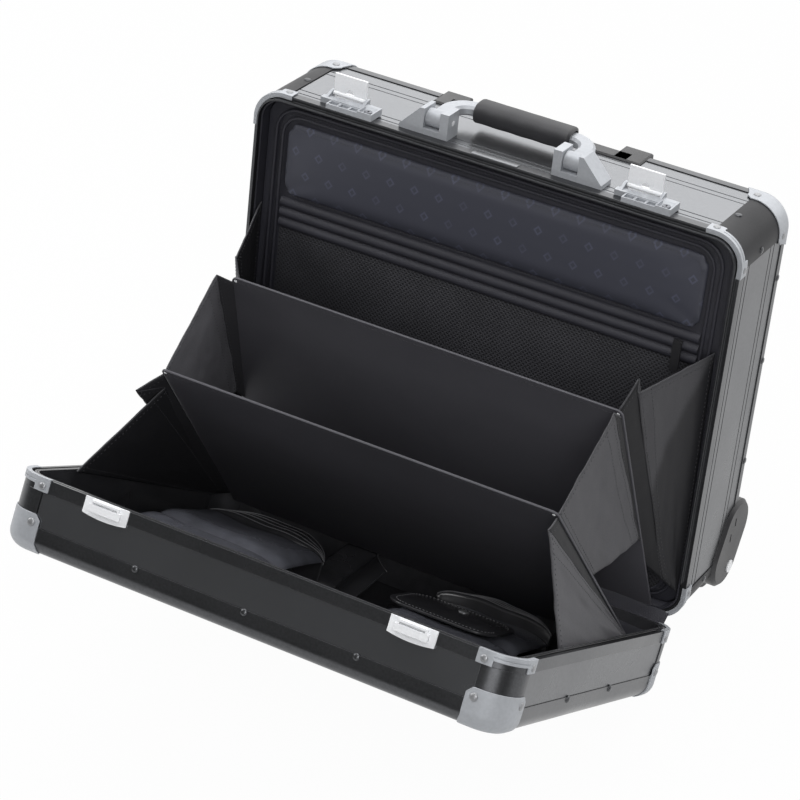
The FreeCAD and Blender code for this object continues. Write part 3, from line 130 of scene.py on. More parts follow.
def case_coordinates(tree, scale=(1, 1, 1)):
    """Coordinates that lie along the case's width, depth and height."""
    place = tree.nodes.new("ShaderNodeTexCoord")
    turn = tree.nodes.new("ShaderNodeMapping")
    turn.inputs["Rotation"].default_value = (LEAN, 0, 0)
    turn.inputs["Scale"].default_value = scale
    link(tree, place.outputs["Object"], turn.inputs["Vector"])
    return turn.outputs["Vector"]


def noise_value(tree, vector, scale, detail=3.0):
    texture = tree.nodes.new("ShaderNodeTexNoise")
    texture.inputs["Scale"].default_value = scale
    texture.inputs["Detail"].default_value = detail
    link(tree, vector, texture.inputs["Vector"])
    return texture.outputs["Fac"]


def stretch(tree, value, low, high, start=0.3, end=0.7):
    """Turn a value between start and end into one between low and high."""
    span = tree.nodes.new("ShaderNodeMapRange")
    for socket, number in zip(("From Min", "From Max", "To Min", "To Max"), (start, end, low, high)):
        span.inputs[socket].default_value = number
    link(tree, value, span.inputs["Value"])
    return span.outputs["Result"]


def tone(tree, shader, value, dark, light):
    """Colour the surface from dark to light."""
    mix = tree.nodes.new("ShaderNodeMix")
    mix.data_type = "RGBA"
    mix.inputs["A"].default_value = (*dark, 1)
    mix.inputs["B"].default_value = (*light, 1)
    link(tree, value, mix.inputs["Factor"])
    link(tree, mix.outputs["Result"], shader.inputs["Base Color"])
    return mix


def relief(tree, shader, value, strength, distance):
    bump = tree.nodes.new("ShaderNodeBump")
    bump.inputs["Strength"].default_value = strength
    bump.inputs["Distance"].default_value = distance
    link(tree, value, bump.inputs["Height"])
    link(tree, bump.outputs["Normal"], shader.inputs["Normal"])


def finish(name, color, rough, metal=0.0, grain=700.0, spread=0.15, bump=0.06, cloud=0.0,
           scale=(1, 1, 1), **sockets):
    """One colour with a fine grain; cloud adds soft differences of sheen, scale draws the grain out."""
    material, tree, shader = start_material(name, color, rough, metal, sockets)
    vector = case_coordinates(tree, scale)
    fine = noise_value(tree, vector, grain)
    dark = [c * (1 - spread) for c in color]
    light = [c * (1 + spread) for c in color]
    tone(tree, shader, stretch(tree, fine, 0, 1), dark, light)
    broad = noise_value(tree, case_coordinates(tree), 14.0)
    link(tree, stretch(tree, broad, rough * (1 - cloud), rough * (1 + cloud)), shader.inputs["Roughness"])
    relief(tree, shader, fine, bump, 0.0004)
    return material


print("material helpers are ready")

# %% [markdown]
# Cloth is two sets of threads at right angles.  Modelling the threads one by one would take millions of
# faces, so two sets of soft bands stand for them.  The gusset cloth is finer than that: a plain charcoal,
# with painted shade that darkens each sheet to black where its faces and folds turn from the light.

# %% Cloth helpers
BAND_SCALE = 0.314  # scale of the bands that gives one thread per metre
MATT = {"Specular IOR Level": 0.3}


def wave(tree, vector, scale, direction):
    texture = tree.nodes.new("ShaderNodeTexWave")
    texture.bands_direction = direction
    texture.inputs["Scale"].default_value = scale
    texture.inputs["Distortion"].default_value = 0.4
    texture.inputs["Detail Scale"].default_value = 3.0
    link(tree, vector, texture.inputs["Vector"])
    return texture.outputs["Fac"]


def calculate(tree, operation, a, b):
    node = tree.nodes.new("ShaderNodeMath")
    node.operation = operation
    for socket, value in zip(node.inputs, (a, b)):
        if isinstance(value, (int, float)):
            socket.default_value = value
        else:
            link(tree, value, socket)
    return node.outputs["Value"]


def woven(name, color, rough, pitch, angle=0.0, contrast=0.5, bump=0.25, **sockets):
    """Cloth: two sets of threads at right angles, turned by an angle, with threads every pitch metres."""
    material, tree, shader = start_material(name, color, rough, 0.0, sockets)
    place = tree.nodes.new("ShaderNodeMapping")
    place.inputs["Rotation"].default_value = (0, angle, 0)
    link(tree, case_coordinates(tree), place.inputs["Vector"])
    vector = place.outputs["Vector"]
    across = wave(tree, vector, BAND_SCALE / pitch, "X")
    along = wave(tree, vector, BAND_SCALE / pitch, "Z")
    threads = calculate(tree, "MAXIMUM", across, along)
    worn = noise_value(tree, case_coordinates(tree), 30.0)
    shade = calculate(tree, "MULTIPLY", threads, stretch(tree, worn, 0.7, 1.0))
    tone(tree, shader, shade, [c * (1 - contrast) for c in color], [c * (1 + contrast) for c in color])
    relief(tree, shader, threads, bump, 0.0006)
    return material


def gusset_cloth():
    """Charcoal cloth with painted shade: it turns black where the sheet's own "black" attribute rises."""
    material, tree, shader = start_material("gusset cloth", (0.07, 0.07, 0.077), 0.62, 0.0, MATT)
    mark = tree.nodes.new("ShaderNodeAttribute")
    mark.attribute_name = "black"
    fine = noise_value(tree, case_coordinates(tree), 900)
    plain = tone(tree, shader, stretch(tree, fine, 0, 1), (0.100, 0.099, 0.108), (0.128, 0.127, 0.138))
    # The mix paints shade: it darkens the charcoal to black by the sheet's "black" attribute.
    mix = tree.nodes.new("ShaderNodeMix")
    mix.data_type = "RGBA"
    mix.inputs["B"].default_value = (0.012, 0.012, 0.014, 1)
    link(tree, mark.outputs["Fac"], mix.inputs["Factor"])
    link(tree, plain.outputs["Result"], mix.inputs["A"])
    link(tree, mix.outputs["Result"], shader.inputs["Base Color"])
    soft = noise_value(tree, case_coordinates(tree), 26.0, 3.0)
    weave = calculate(tree, "MULTIPLY", fine, 0.06)
    crinkle = calculate(tree, "MULTIPLY", soft, 1.4)
    relief(tree, shader, calculate(tree, "ADD", weave, crinkle), 0.5, 0.0016)
    return material


print("cloth helpers are ready")

# %% [markdown]
# The black anodised sheet and the black profiles look almost white where they mirror a bright ceiling,
# and almost black where they mirror a dark room.  That is the mark of a satin metal, so both are metals
# with a low colour.  Silver castings are brighter and cloudy, plated pieces are smooth, and rubber and
# plastic are plain.  A few pieces share a stock with others but get a finish of their own.  The side
# sheets are painted darker than the black sheet, and the corner columns are a darker, matt copy of the
# black profile: both are painted shade, for sides and corners that fall dark in this light.  The keepers
# and latch flaps get a satin plating, the locks a dark plating, and the zip slider the moulded plastic.

# %% Finishes of the hard pieces
ROLLED_ACROSS, ROLLED_DEEP, DRAWN_UP = (0.6, 14, 1), (14, 0.6, 1), (1, 1, 0.03)
SLOTS = {
    "black_panel": finish("black sheet", (0.185, 0.190, 0.200), 0.25, 0.92, 420, 0.10, 0.05, 0.12,
                          ROLLED_ACROSS),
    "black_profile": finish("black profile", (0.088, 0.090, 0.095), 0.30, 0.9, 500, 0.12, 0.04, 0.12),
    "silver_fitting": finish("silver casting", (0.38, 0.395, 0.42), 0.46, 0.30, 350, 0.05, 0.05, 0.25),
    "bright_metal": finish("plated", (0.80, 0.81, 0.83), 0.30, 0.25, 600, 0.03, 0.02, 0.3),
    "tube_metal": finish("drawn tube", (0.42, 0.43, 0.44), 0.28, 1.0, 300, 0.10, 0.05, 0.2, DRAWN_UP),
    "black_plastic": finish("moulded plastic", (0.022, 0.022, 0.024), 0.42, 0.0, 1500, 0.2, 0.18, 0.15),
    "grip_rubber": finish("grip rubber", (0.022, 0.022, 0.025), 0.56, 0.0, 1100, 0.2, 0.15, 0.15),
    "tyre": finish("tyre rubber", (0.026, 0.026, 0.027), 0.62, 0.0, 900, 0.25, 0.25, 0.2),
    "divider_cloth": woven("coated cloth", (0.070, 0.069, 0.079), 0.6, 0.0011, contrast=0.2, bump=0.1,
                           **MATT),
    "gusset_cloth": gusset_cloth(),
    "lining": woven("lining cloth", (0.022, 0.022, 0.030), 0.62, 0.0012, 0.785, contrast=0.4),
    "mesh": woven("pocket mesh", (0.028, 0.028, 0.032), 0.50, 0.0030, 0.785, contrast=0.75, bump=0.6),
    "organiser": finish("glossy sheet", (0.030, 0.030, 0.033), 0.22, 0.0, 60, 0.2, 0.10, 0.35),
}
PALE = finish("satin plating", (0.80, 0.81, 0.83), 0.38, 0.05, 600, 0.03, 0.02, 0.3)
LOCK = finish("dark plating", (0.13, 0.135, 0.15), 0.25, 0.9, 600, 0.05, 0.02, 0.3)
# The side sheets are painted darker than the black sheet, and the corner columns darker and matt: painted shade.
SHADED_SIDE_SHEET = finish("side sheet with painted shade", (0.115, 0.118, 0.125), 0.28, 0.92, 420, 0.10, 0.05, 0.12, ROLLED_DEEP)
SHADED_COLUMN = finish("corner extrusion with painted shade", (0.020, 0.020, 0.022), 0.40, 0.0, 500, 0.12, 0.04, 0.12,
                **{"Specular IOR Level": 0.15})
OWN = {
    "main_corner_columns": SHADED_COLUMN,
    "main_side_panels": SHADED_SIDE_SHEET,
    "lid_side_panels": SHADED_SIDE_SHEET,
    "zip_slider": SLOTS["black_plastic"],
    "keepers": PALE,
    "latch_flap_left": PALE,
    "latch_flap_right": PALE,
    "lock_barrel_left": LOCK,
    "lock_barrel_right": LOCK,
}
slot_of = {part["node"]: part["material_slot"] for part in frame["record"]["subparts"]}
print("made", len(SLOTS), "finishes and own ones for", len(OWN), "pieces")

# %% [markdown]
# No made edge is perfectly sharp.  A hair-thin bevel on every hard piece catches the light, as the broken
# edge of a sheet or the round of a casting does.  Rounding every edge in the CAD model would do the same
# at a far higher cost, so the bevel is added here.

# %% Dress the hard pieces
def soften_edges(obj, width, angle=30):
    weld = obj.modifiers.new("join corners", "WELD")
    weld.merge_threshold = 1e-6
    bevel = obj.modifiers.new("broken edge", "BEVEL")
    bevel.width = width
    bevel.segments = 2
    bevel.limit_method = "ANGLE"
    bevel.angle_limit = math.radians(angle)
    bevel.harden_normals = True


EDGE = {"silver_fitting": 0.0005, "black_plastic": 0.0006, "grip_rubber": 0.0006, "tyre": 0.0015}
SHEET_EDGE = 0.0003
for name, obj in nodes.items():
    slot = slot_of[name]
    obj.data.materials.clear()
    obj.data.materials.append(OWN.get(name, SLOTS[slot]))
    if "custom_normal" in obj.data.attributes:
        obj.data.attributes.remove(obj.data.attributes["custom_normal"])
    obj.data.polygons.foreach_set("use_smooth", [True] * len(obj.data.polygons))
    soften_edges(obj, EDGE.get(slot, SHEET_EDGE))
print("dressed the hard pieces")

# %% [markdown]
# ## Making new pieces
#
# Nearly every new piece is modelled in the closed case and then put in its place, so that its numbers
# stay those of a cutting list.  Only the cloth between the shells is drawn in the open case.  A block
# with rounded corners, a dome, a cord along a line and a row of stitches are enough for nearly all of
# them.

# %% Shape helpers
def new_piece(name, bm, body, slot, material=None):
    """Turn a bmesh in closed-case millimetres into a piece set in the place of a body."""
    bmesh.ops.recalc_face_normals(bm, faces=bm.faces)
    mesh = bpy.data.meshes.new(name)
    bm.to_mesh(mesh)
    bm.free()
    mesh.transform(PLACE[body])
    mesh.materials.append(material or SLOTS[slot])
    mesh.polygons.foreach_set("use_smooth", [True] * len(mesh.polygons))
    obj = bpy.data.objects.new(name, mesh)
    bpy.context.scene.collection.objects.link(obj)
    return obj


def bevel_edges(bm, edges, width, segments):
    bmesh.ops.bevel(bm, geom=edges, offset=width, offset_type="OFFSET", segments=segments, profile=0.5,
                    affect="EDGES", material=-1)


def block(low, high, corner=0.0, edge=0.0, along="y", segments=8):
    """Block between two corners; its edges along one axis are rounded, then the edges that are left."""
    bm = bmesh.new()
    bmesh.ops.create_cube(bm, size=1)
    low, high = Vector(low), Vector(high)
    size = high - low
    place = Matrix.Translation((low + high) / 2) @ Matrix.Diagonal((*size, 1))
    bmesh.ops.transform(bm, matrix=place, verts=bm.verts)
    axis = "xyz".index(along)
    if corner:
        straight = [e for e in bm.edges if abs((e.verts[0].co - e.verts[1].co)[axis]) > size[axis] / 2]
        bevel_edges(bm, straight, corner, segments)
    if edge:
        sharp = [e for e in bm.edges if e.calc_face_angle(0) > math.radians(40)]
        bevel_edges(bm, sharp, edge, 3)
    return bm


def domes(name, spots, radius, height, body, slot, material=None):
    """Rivet heads: flat domes on a surface, each given by its place and by the way it faces."""
    bm = bmesh.new()
    for place, facing in spots:
        head = bmesh.ops.create_uvsphere(bm, u_segments=20, v_segments=12, radius=1)["verts"]
        turn = Vector((0, 0, 1)).rotation_difference(Vector(facing)).to_matrix().to_4x4()
        size = Matrix.Diagonal((radius, radius, height, 1))
        bmesh.ops.transform(bm, matrix=Matrix.Translation(place) @ turn @ size, verts=head)
    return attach(new_piece(name, bm, body, slot, material), body)


def tube(bm, points, radius, closed=False):
    """Round cord along a line of points, added to a bmesh."""
    curve = bpy.data.curves.new("line", "CURVE")
    curve.dimensions = "3D"
    curve.bevel_depth = radius
    curve.bevel_resolution = 2
    curve.use_fill_caps = True
    spline = curve.splines.new("POLY")
    spline.points.add(len(points) - 1)
    for point, place in zip(spline.points, points):
        point.co = (*place, 1)
    spline.use_cyclic_u = closed
    holder = bpy.data.objects.new("line", curve)
    mesh = bpy.data.meshes.new_from_object(holder)
    bm.from_mesh(mesh)
    bpy.data.objects.remove(holder)
    bpy.data.curves.remove(curve)
    bpy.data.meshes.remove(mesh)


def walk(points, pitch):
    """Places every pitch along a line of points, each with the direction there."""
    places = []
    left = pitch / 2
    for a, b in zip(points, points[1:]):
        a, b = Vector(a), Vector(b)
        length = (b - a).length
        while left < length:
            places.append((a.lerp(b, left / length), (b - a).normalized()))
            left += pitch
        left -= length
    return places


def stitches(bm, points, pitch=3.2, length=2.1, width=0.55):
    """Row of thread stitches along a line of points, added to a bmesh."""
    for place, direction in walk(points, pitch):
        thread = bmesh.ops.create_icosphere(bm, subdivisions=1, radius=1)["verts"]
        turn = Vector((1, 0, 0)).rotation_difference(direction).to_matrix().to_4x4()
        size = Matrix.Diagonal((length / 2, width / 2, width / 2, 1))
        bmesh.ops.transform(bm, matrix=Matrix.Translation(place) @ turn @ size, verts=thread)


def round_rectangle(x0, x1, z0, z1, radius, y, steps=8):
    """Points round a rectangle with round corners, seen from the front."""
    points = []
    for cx, cz, start in ((x1 - radius, z1 - radius, 0), (x0 + radius, z1 - radius, 90),
                          (x0 + radius, z0 + radius, 180), (x1 - radius, z0 + radius, 270)):
        for i in range(steps + 1):
            a = math.radians(start + 90 * i / steps)
            points.append((cx + radius * math.cos(a), y, cz + radius * math.sin(a)))
    return points


print("shape helpers are ready")

# %% [markdown]
# ## Rivets
#
# The castings and the rim brackets are riveted to the profiles.  Steel heads hold the silver pieces, and
# black ones hold the black profiles.  Only the heads show, so each one is a flat dome that sinks into the
# skin.

# %% Rivets
HALF_WIDTH = 232.5
HEIGHT = 370.0
SIDES = (-1, 1)
SKIN = HEIGHT + 2.0
FLANK = HALF_WIDTH + 2.0


def corner_rivets(y, inset, drop, bottom):
    """Rivet places on the top, bottom and sides, next to the corners, at one depth."""
    spots = []
    for sx in SIDES:
        spots.append(((sx * (HALF_WIDTH - inset), y, SKIN), (0, 0, 1)))
        spots.append(((sx * FLANK, y, HEIGHT - drop), (sx, 0, 0)))
        if bottom:
            spots.append(((sx * (HALF_WIDTH - inset), y, -2.0), (0, 0, -1)))
            spots.append(((sx * FLANK, y, drop), (sx, 0, 0)))
    return spots


STEEL = finish("steel rivet", (0.30, 0.305, 0.315), 0.34, 0.6, 500, 0.08, 0.05, 0.2)
domes("main_bracket_rivets", corner_rivets(7.4, 28, 28, True), 3.2, 1.2, "main", "bright_metal", STEEL)
domes("rear_cap_rivets", corner_rivets(90, 27, 27, False), 3.4, 1.2, "main", "bright_metal", STEEL)
domes("lid_bracket_rivets", corner_rivets(-7.4, 28, 28, True), 3.2, 1.4, "lid", "bright_metal", STEEL)
domes("lid_cap_rivets", corner_rivets(-38.5, 27, 27, True), 3.6, 1.6, "lid", "bright_metal", STEEL)
EDGE_SKIN = HEIGHT + 0.8
EDGE_FLANK = HALF_WIDTH + 0.8
LID_FRAME, COLUMN_MIDDLE, REAR_FRAME = -43.5, 44, 97
black = [((x, LID_FRAME, EDGE_SKIN), (0, 0, 1)) for x in (-103, 0, 103)]
black += [((x, LID_FRAME, -0.8), (0, 0, -1)) for x in (-103, 0, 103)]
black += [((sx * EDGE_FLANK, LID_FRAME, z), (sx, 0, 0)) for sx in SIDES for z in (137, 235)]
domes("lid_black_rivets", black, 3.2, 1.7, "lid", "black_profile")
black = [((sx * 208, COLUMN_MIDDLE, EDGE_SKIN), (0, 0, 1)) for sx in SIDES]
black += [((sx * EDGE_FLANK, COLUMN_MIDDLE, z), (sx, 0, 0)) for sx in SIDES for z in (24, 346)]
black += [((sx * EDGE_FLANK, REAR_FRAME, z), (sx, 0, 0)) for sx in SIDES for z in (120, 220, 300)]
domes("main_black_rivets", black, 3.2, 1.1, "main", "black_profile")
print("set the rivets")

# %% [markdown]
# ## The board and the pad inside the rear shell
#
# A board closes the mouth of the rear shell.  Its upper part carries a flat foam pad in printed cloth, a
# ribbed band holds a zip, and a mesh pocket fills the rest.  Board and band are plain shapes; the net
# hangs a little slack, which a rule over its width and height draws better than a flat sheet would.

# %% Board, zip band and mesh pocket
PANEL_DEPTH = 12.0
PAD_HALF, PAD_LOW, PAD_HIGH = 205.0, 271.0, 347.0
ZIP_LOW, POCKET_LOW = 241.0, 18.0
shape = block((-225, PANEL_DEPTH, 7.5), (225, PANEL_DEPTH + 2, 362.5), 19, 0.5)
board = new_piece("compartment_board", shape, "main", "lining")
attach(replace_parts(board, "compartment_panel"), "main")


def sheet_grid(nx, nz, place):
    """Grid of faces whose corners are set by place(u, v), with u and v from 0 to 1 kept as its UV map."""
    bm = bmesh.new()
    bmesh.ops.create_grid(bm, x_segments=nx, y_segments=nz, size=0.5)
    layer = bm.loops.layers.uv.new("UVMap")
    spots = {v: (v.co.x + 0.5, v.co.y + 0.5) for v in bm.verts}
    for v, (a, b) in spots.items():
        v.co = place(a, b)
    for face in bm.faces:
        for loop in face.loops:
            loop[layer].uv = spots[loop.vert]
    return bm


def ribbed(u, v):
    fold = abs(math.sin(math.pi * 3 * v)) ** 0.6
    return Vector((-PAD_HALF + 2 * PAD_HALF * u, PANEL_DEPTH - 0.8 - 3.6 * fold,
                   ZIP_LOW + (PAD_LOW - ZIP_LOW) * v))


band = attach(new_piece("zip_band", sheet_grid(60, 72, ribbed), "main", "lining"), "main")
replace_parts(band, "pocket_zip_band")


def slack_net(u, v):
    belly = math.sin(math.pi * u) * math.sin(math.pi * v)
    ripple = noise.noise(Vector((9 * u, 7 * v, 0.3)))
    return Vector((-PAD_HALF + 2 * PAD_HALF * u, PANEL_DEPTH - 0.8 - 2.6 * belly - 0.7 * ripple * belly,
                   POCKET_LOW + (ZIP_LOW - POCKET_LOW) * v))


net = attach(new_piece("mesh_pocket_net", sheet_grid(80, 46, slack_net), "main", "mesh"), "main")
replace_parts(net, "mesh_pocket")
print("made the board, the zip band and the mesh pocket")

# %% [markdown]
# The pad is foam in a cloth bag.  We let a short cloth simulation blow the bag up a little, because real
# foam pushes the cloth out between its seams, and then smooth the result.

# %% Padded panel
def puff(obj, held, push, cap, steps=20):
    """Swell a closed mesh with a short cloth simulation; held points stay, others move by cap at most."""
    remesh = obj.modifiers.new("even faces", "REMESH")
    remesh.mode = "VOXEL"
    remesh.voxel_size = 0.0045
    bpy.context.view_layer.objects.active = obj
    bpy.ops.object.modifier_apply(modifier=remesh.name)
    rest = [v.co.copy() for v in obj.data.vertices]
    group = obj.vertex_groups.new(name="held")
    group.add([i for i, co in enumerate(rest) if held(co)], 1.0, "REPLACE")
    cloth = obj.modifiers.new("swell", "CLOTH")
    cloth.settings.vertex_group_mass = "held"
    cloth.settings.use_pressure = True
    cloth.settings.uniform_pressure_force = push
    cloth.settings.effector_weights.gravity = 0
    cloth.point_cache.frame_start = 1
    cloth.point_cache.frame_end = steps
    for number in range(1, steps + 1):
        bpy.context.scene.frame_set(number)
    bpy.ops.object.modifier_apply(modifier=cloth.name)
    for v, start in zip(obj.data.vertices, rest):
        move = v.co - start
        if move.length > cap:
            v.co = start + move * (cap / move.length)
    bpy.context.scene.frame_set(1)
    smooth = obj.modifiers.new("even skin", "SMOOTH")
    smooth.iterations = 4
    round_off = obj.modifiers.new("round", "SUBSURF")
    round_off.levels = 1
    round_off.render_levels = 1
    obj.data.polygons.foreach_set("use_smooth", [True] * len(obj.data.polygons))


def printed_cloth():
    """Dark blue lining cloth with rows of small diamonds, a shade lighter."""
    material, tree, shader = start_material("printed lining", (0.035, 0.037, 0.052), 0.6, 0.0, {})
    vector = case_coordinates(tree, (1 / 0.024, 1, 1 / 0.019))
    split = tree.nodes.new("ShaderNodeSeparateXYZ")
    link(tree, vector, split.inputs["Vector"])
    row = calculate(tree, "FLOOR", split.outputs["Z"], 0.0)
    shift = calculate(tree, "MULTIPLY", row, 0.5)
    across = calculate(tree, "FRACT", calculate(tree, "ADD", split.outputs["X"], shift), 0.0)
    up = calculate(tree, "FRACT", split.outputs["Z"], 0.0)
    far_x = calculate(tree, "ABSOLUTE", calculate(tree, "SUBTRACT", across, 0.5), 0.0)
    far_z = calculate(tree, "ABSOLUTE", calculate(tree, "SUBTRACT", up, 0.5), 0.0)
    reach = calculate(tree, "ADD", far_x, calculate(tree, "MULTIPLY", far_z, 0.8))
    mark = stretch(tree, reach, 1.0, 0.0, 0.16, 0.20)
    hole = stretch(tree, reach, 0.0, 1.0, 0.08, 0.11)
    worn = stretch(tree, noise_value(tree, case_coordinates(tree), 60), 0.35, 1.0)
    motif = calculate(tree, "MULTIPLY", calculate(tree, "MULTIPLY", mark, hole), worn)
    tone(tree, shader, motif, (0.042, 0.044, 0.060), (0.074, 0.080, 0.118))
    fine = noise_value(tree, case_coordinates(tree), 900)
    relief(tree, shader, fine, 0.2, 0.0004)
    return material


low, high = (-PAD_HALF, PANEL_DEPTH - 5.5, PAD_LOW + 1), (PAD_HALF, PANEL_DEPTH + 0.5, PAD_HIGH)
pad = new_piece("compartment_pad", block(low, high, 18, 1.5), "main", "lining", printed_cloth())
pad_back = PLACE["main"] @ Vector((0, PANEL_DEPTH - 2.0, 0))
puff(pad, lambda co: (co - pad_back).dot(BACK) > 0, 3.0, 0.0025)
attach(pad, "main")
print("swelled the pad:", len(pad.data.vertices), "points")

# %% [markdown]
# Two cords of piping with a row of stitches between them frame the soft panel.  One more row closes the
# pocket's mouth, and one runs round the pad.  The stitches are small pieces of thread, because painted
# ones cast no shade.

# %% Piping and stitches of the rear shell
DARK_THREAD = finish("dark thread", (0.045, 0.045, 0.05), 0.6, 0.0, 900, 0.2, 0.3)
PITCH = 3.4
bm = bmesh.new()
tube(bm, round_rectangle(-215, 215, 12, 356, 22, PANEL_DEPTH - 2.5), 1.5, True)
tube(bm, round_rectangle(-208, 208, 15, 350, 19, PANEL_DEPTH - 3.0), 1.4, True)
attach(new_piece("compartment_piping", bm, "main", "lining"), "main")
bm = bmesh.new()
stitches(bm, round_rectangle(-211.5, 211.5, 14, 353, 20, PANEL_DEPTH - 1.5), PITCH)
stitches(bm, [(-200, PANEL_DEPTH - 3.2, ZIP_LOW - 5), (200, PANEL_DEPTH - 3.2, ZIP_LOW - 5)], PITCH)
stitches(bm, round_rectangle(-199, 199, PAD_LOW + 6, PAD_HIGH - 6, 13, PANEL_DEPTH - 7.6), PITCH)
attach(new_piece("compartment_stitches", bm, "main", "lining", DARK_THREAD), "main")
print("sewed the rear compartment")

# %% [markdown]
# ## Dividers
#
# Each divider is a stiff board wrapped in coated cloth.  Its sides taper towards the top, so that the
# gussets have room to fold beside it.  The wrapped edge is rounded, a row of stitches runs below the top
# and a small pin sits in each upper corner.  Wrapped tight on a board, the cloth needs no folds: one
# rounded block shows it.

# %% Dividers
LOW_HALF, HIGH_HALF = 206.0, 188.0
BOARDS = {"divider_rear": (1.4, 3.6, 9.3, 256.0), "divider_front": (-32.1, -29.9, 11.2, 292.0)}
for body, (y0, y1, low, high) in BOARDS.items():
    bm = block((-LOW_HALF, y0, low), (LOW_HALF, y1, high))
    for v in bm.verts:
        if v.co.z > high / 2:
            v.co.x = math.copysign(HIGH_HALF, v.co.x)
    top_corners = [e for e in bm.edges if all(v.co.z > high / 2 for v in e.verts)
                   and abs(e.verts[0].co.y - e.verts[1].co.y) > 1]
    bevel_edges(bm, top_corners, 6, 6)
    bevel_edges(bm, [e for e in bm.edges if e.calc_face_angle(0) > math.radians(40)], 0.6, 2)
    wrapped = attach(new_piece(body + "_board", bm, body, "divider_cloth"), body)
    wrapped.modifiers.new("flat faces", "WEIGHTED_NORMAL")
    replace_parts(wrapped, body)
    bm = bmesh.new()
    for y in (y0 - 0.1, y1 + 0.1):
        stitches(bm, [(-HIGH_HALF + 6, y, high - 5), (HIGH_HALF - 6, y, high - 5)], PITCH)
    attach(new_piece(body + "_stitches", bm, body, "divider_cloth", DARK_THREAD), body)
    pins = [((sx * (HIGH_HALF - 4), y0, high - 4), (0, -1, 0)) for sx in SIDES]
    domes(body + "_pins", pins, 1.5, 0.8, body, "bright_metal")
print("wrapped the dividers")

# %% [markdown]
# ## Gussets
#
# The gussets are the cloth sides of the fan.  Each one is sewn to two planes of the fan and folds between
# them: a wide face reaches over, and a narrow pleat comes back to the divider, so a small pointed ear
# stands up at the divider's corner.  A cloth simulation could find folds, but not where the maker pressed
# them.  We stretch a grid over four lines, two seams and two creases, and its rows run up from the hinge.

# %% Gusset sheets
def in_case(body, point):
    """Point drawn on a body of the closed case, in the upright frame of the open case."""
    return PLACE["main"].inverted() @ (PLACE[body] @ Vector(point))


def board_seam(sx, body, y, start, inset=0.0):
    """Ends of the line along which a gusset is sewn to a divider's side."""
    y0, y1, low, high = BOARDS[body]
    ends = []
    for z, gap in ((start, 0.0), (high - 6.5, inset)):
        x = LOW_HALF - (LOW_HALF - HIGH_HALF) * (z - low) / (high - low) - 2.0 - gap
        ends.append(in_case(body, (sx * x, y, z)))
    return ends


CREASES = (0.0, 0.72, 0.78, 1.0)
SEAM_STITCH = (4.2, 2.2, 0.7)
GUSSET_THICK = 0.0009


def limit(value):
    """Keep a value between 0 and 1."""
    return min(max(value, 0.0), 1.0)


def thicken(obj, thickness, offset=-1):
    solid = obj.modifiers.new("cloth thickness", "SOLIDIFY")
    solid.thickness = thickness
    solid.offset = offset


def gusset_sheet(name, sx, lines, black):
    """Sheet over four lines: first seam, two creases and last seam; black(u, v) paints shade on it."""
    outward = Vector((sx, 0, 0))

    def flat(u, v):
        v = limit(v)
        i = 0 if v <= CREASES[1] else 1 if v <= CREASES[2] else 2
        t = (v - CREASES[i]) / (CREASES[i + 1] - CREASES[i])
        return lines[i][0].lerp(lines[i][1], u).lerp(lines[i + 1][0].lerp(lines[i + 1][1], u), t)

    def place(u, v):
        point = (flat(u, v - 0.012) + flat(u, v) + flat(u, v + 0.012)) / 3
        across = min(v / CREASES[1], 1.0)
        hang = max(0.0, 0.72 - u * 0.5 - across * 0.62) * across
        wrinkle = noise.noise(Vector((3 * u, 6 * v, 2.0 * sx)))
        wrinkle += 0.5 * noise.noise(Vector((8 * u, 11 * v, 5.0 * sx)))
        belly = math.sin(math.pi * across) * math.sin(math.pi * u)
        return point + outward * (10.0 * hang - 2.0 * belly + 1.7 * wrinkle * math.sin(math.pi * v))

    obj = new_piece(name, sheet_grid(40, 60, place), "main", "gusset_cloth")
    # Painted shade: each corner of the grid stores how black the cloth is painted there.
    mark = obj.data.attributes.new("black", "FLOAT", "CORNER")
    mark.data.foreach_set("value", [black(*d.uv) for d in obj.data.uv_layers[0].data])
    thicken(obj, GUSSET_THICK, 0)
    area = sum(p.area for p in obj.data.polygons)
    length = max((line[1] - line[0]).length for line in lines) * MM
    width = sum((b[1] - a[1]).length for a, b in zip(lines, lines[1:])) * MM
    seams = bmesh.new()
    for face in (-0.6, 0.6):
        for v in (0.04, 0.60, 0.69, 0.80):
            stitches(seams, [place(i / 30, v) + outward * face for i in range(31)], *SEAM_STITCH)
        stitches(seams, [place(0.97, i / 30) + outward * face for i in range(31)], *SEAM_STITCH)
    tube(seams, [place(0.998, i / 40) for i in range(41)], 0.75)
    sewing = new_piece(name + "_stitches", seams, "main", "gusset_cloth", DARK_THREAD)
    return obj, sewing, area, length, width


print("gusset helpers are ready")

# %% [markdown]
# The dark parts of the gussets are painted shade: the face of each sheet that turns from the light on one
# side of a crease, and the cloth under a diagonal fold.  Two materials on one sheet would change along
# whole faces only, so each sheet gets a rule that says how black it is painted at every point.

# %% Painted shade of the gussets
SHADE_CREASE, SHADE_BLUR = 0.74, 0.03


def painted_shade_ramp(low, high, lower=None):
    """Painted shade: low before the crease, high after it, lower under a fold that runs to the crease."""
    def shade(u, v):
        level = low + (high - low) * limit((v - SHADE_CREASE) / SHADE_BLUR)
        if lower is None or v > SHADE_CREASE:
            return level
        return level + (lower - level) * limit((1.04 - 0.75 * v - u) / 0.06)
    return shade


# How black each gusset is painted, rear, middle and front: painted shade on the right (1) and left (-1).
PAINTED_SHADES = {
    1: (painted_shade_ramp(0.62, 1, lower=0.94), painted_shade_ramp(0.46, 1), painted_shade_ramp(0.42, 1)),
    -1: (painted_shade_ramp(1, 0.2), painted_shade_ramp(0, 0.8), painted_shade_ramp(0.95, 0.9)),
}
print("chose the shades of", sum(len(s) for s in PAINTED_SHADES.values()), "gussets")
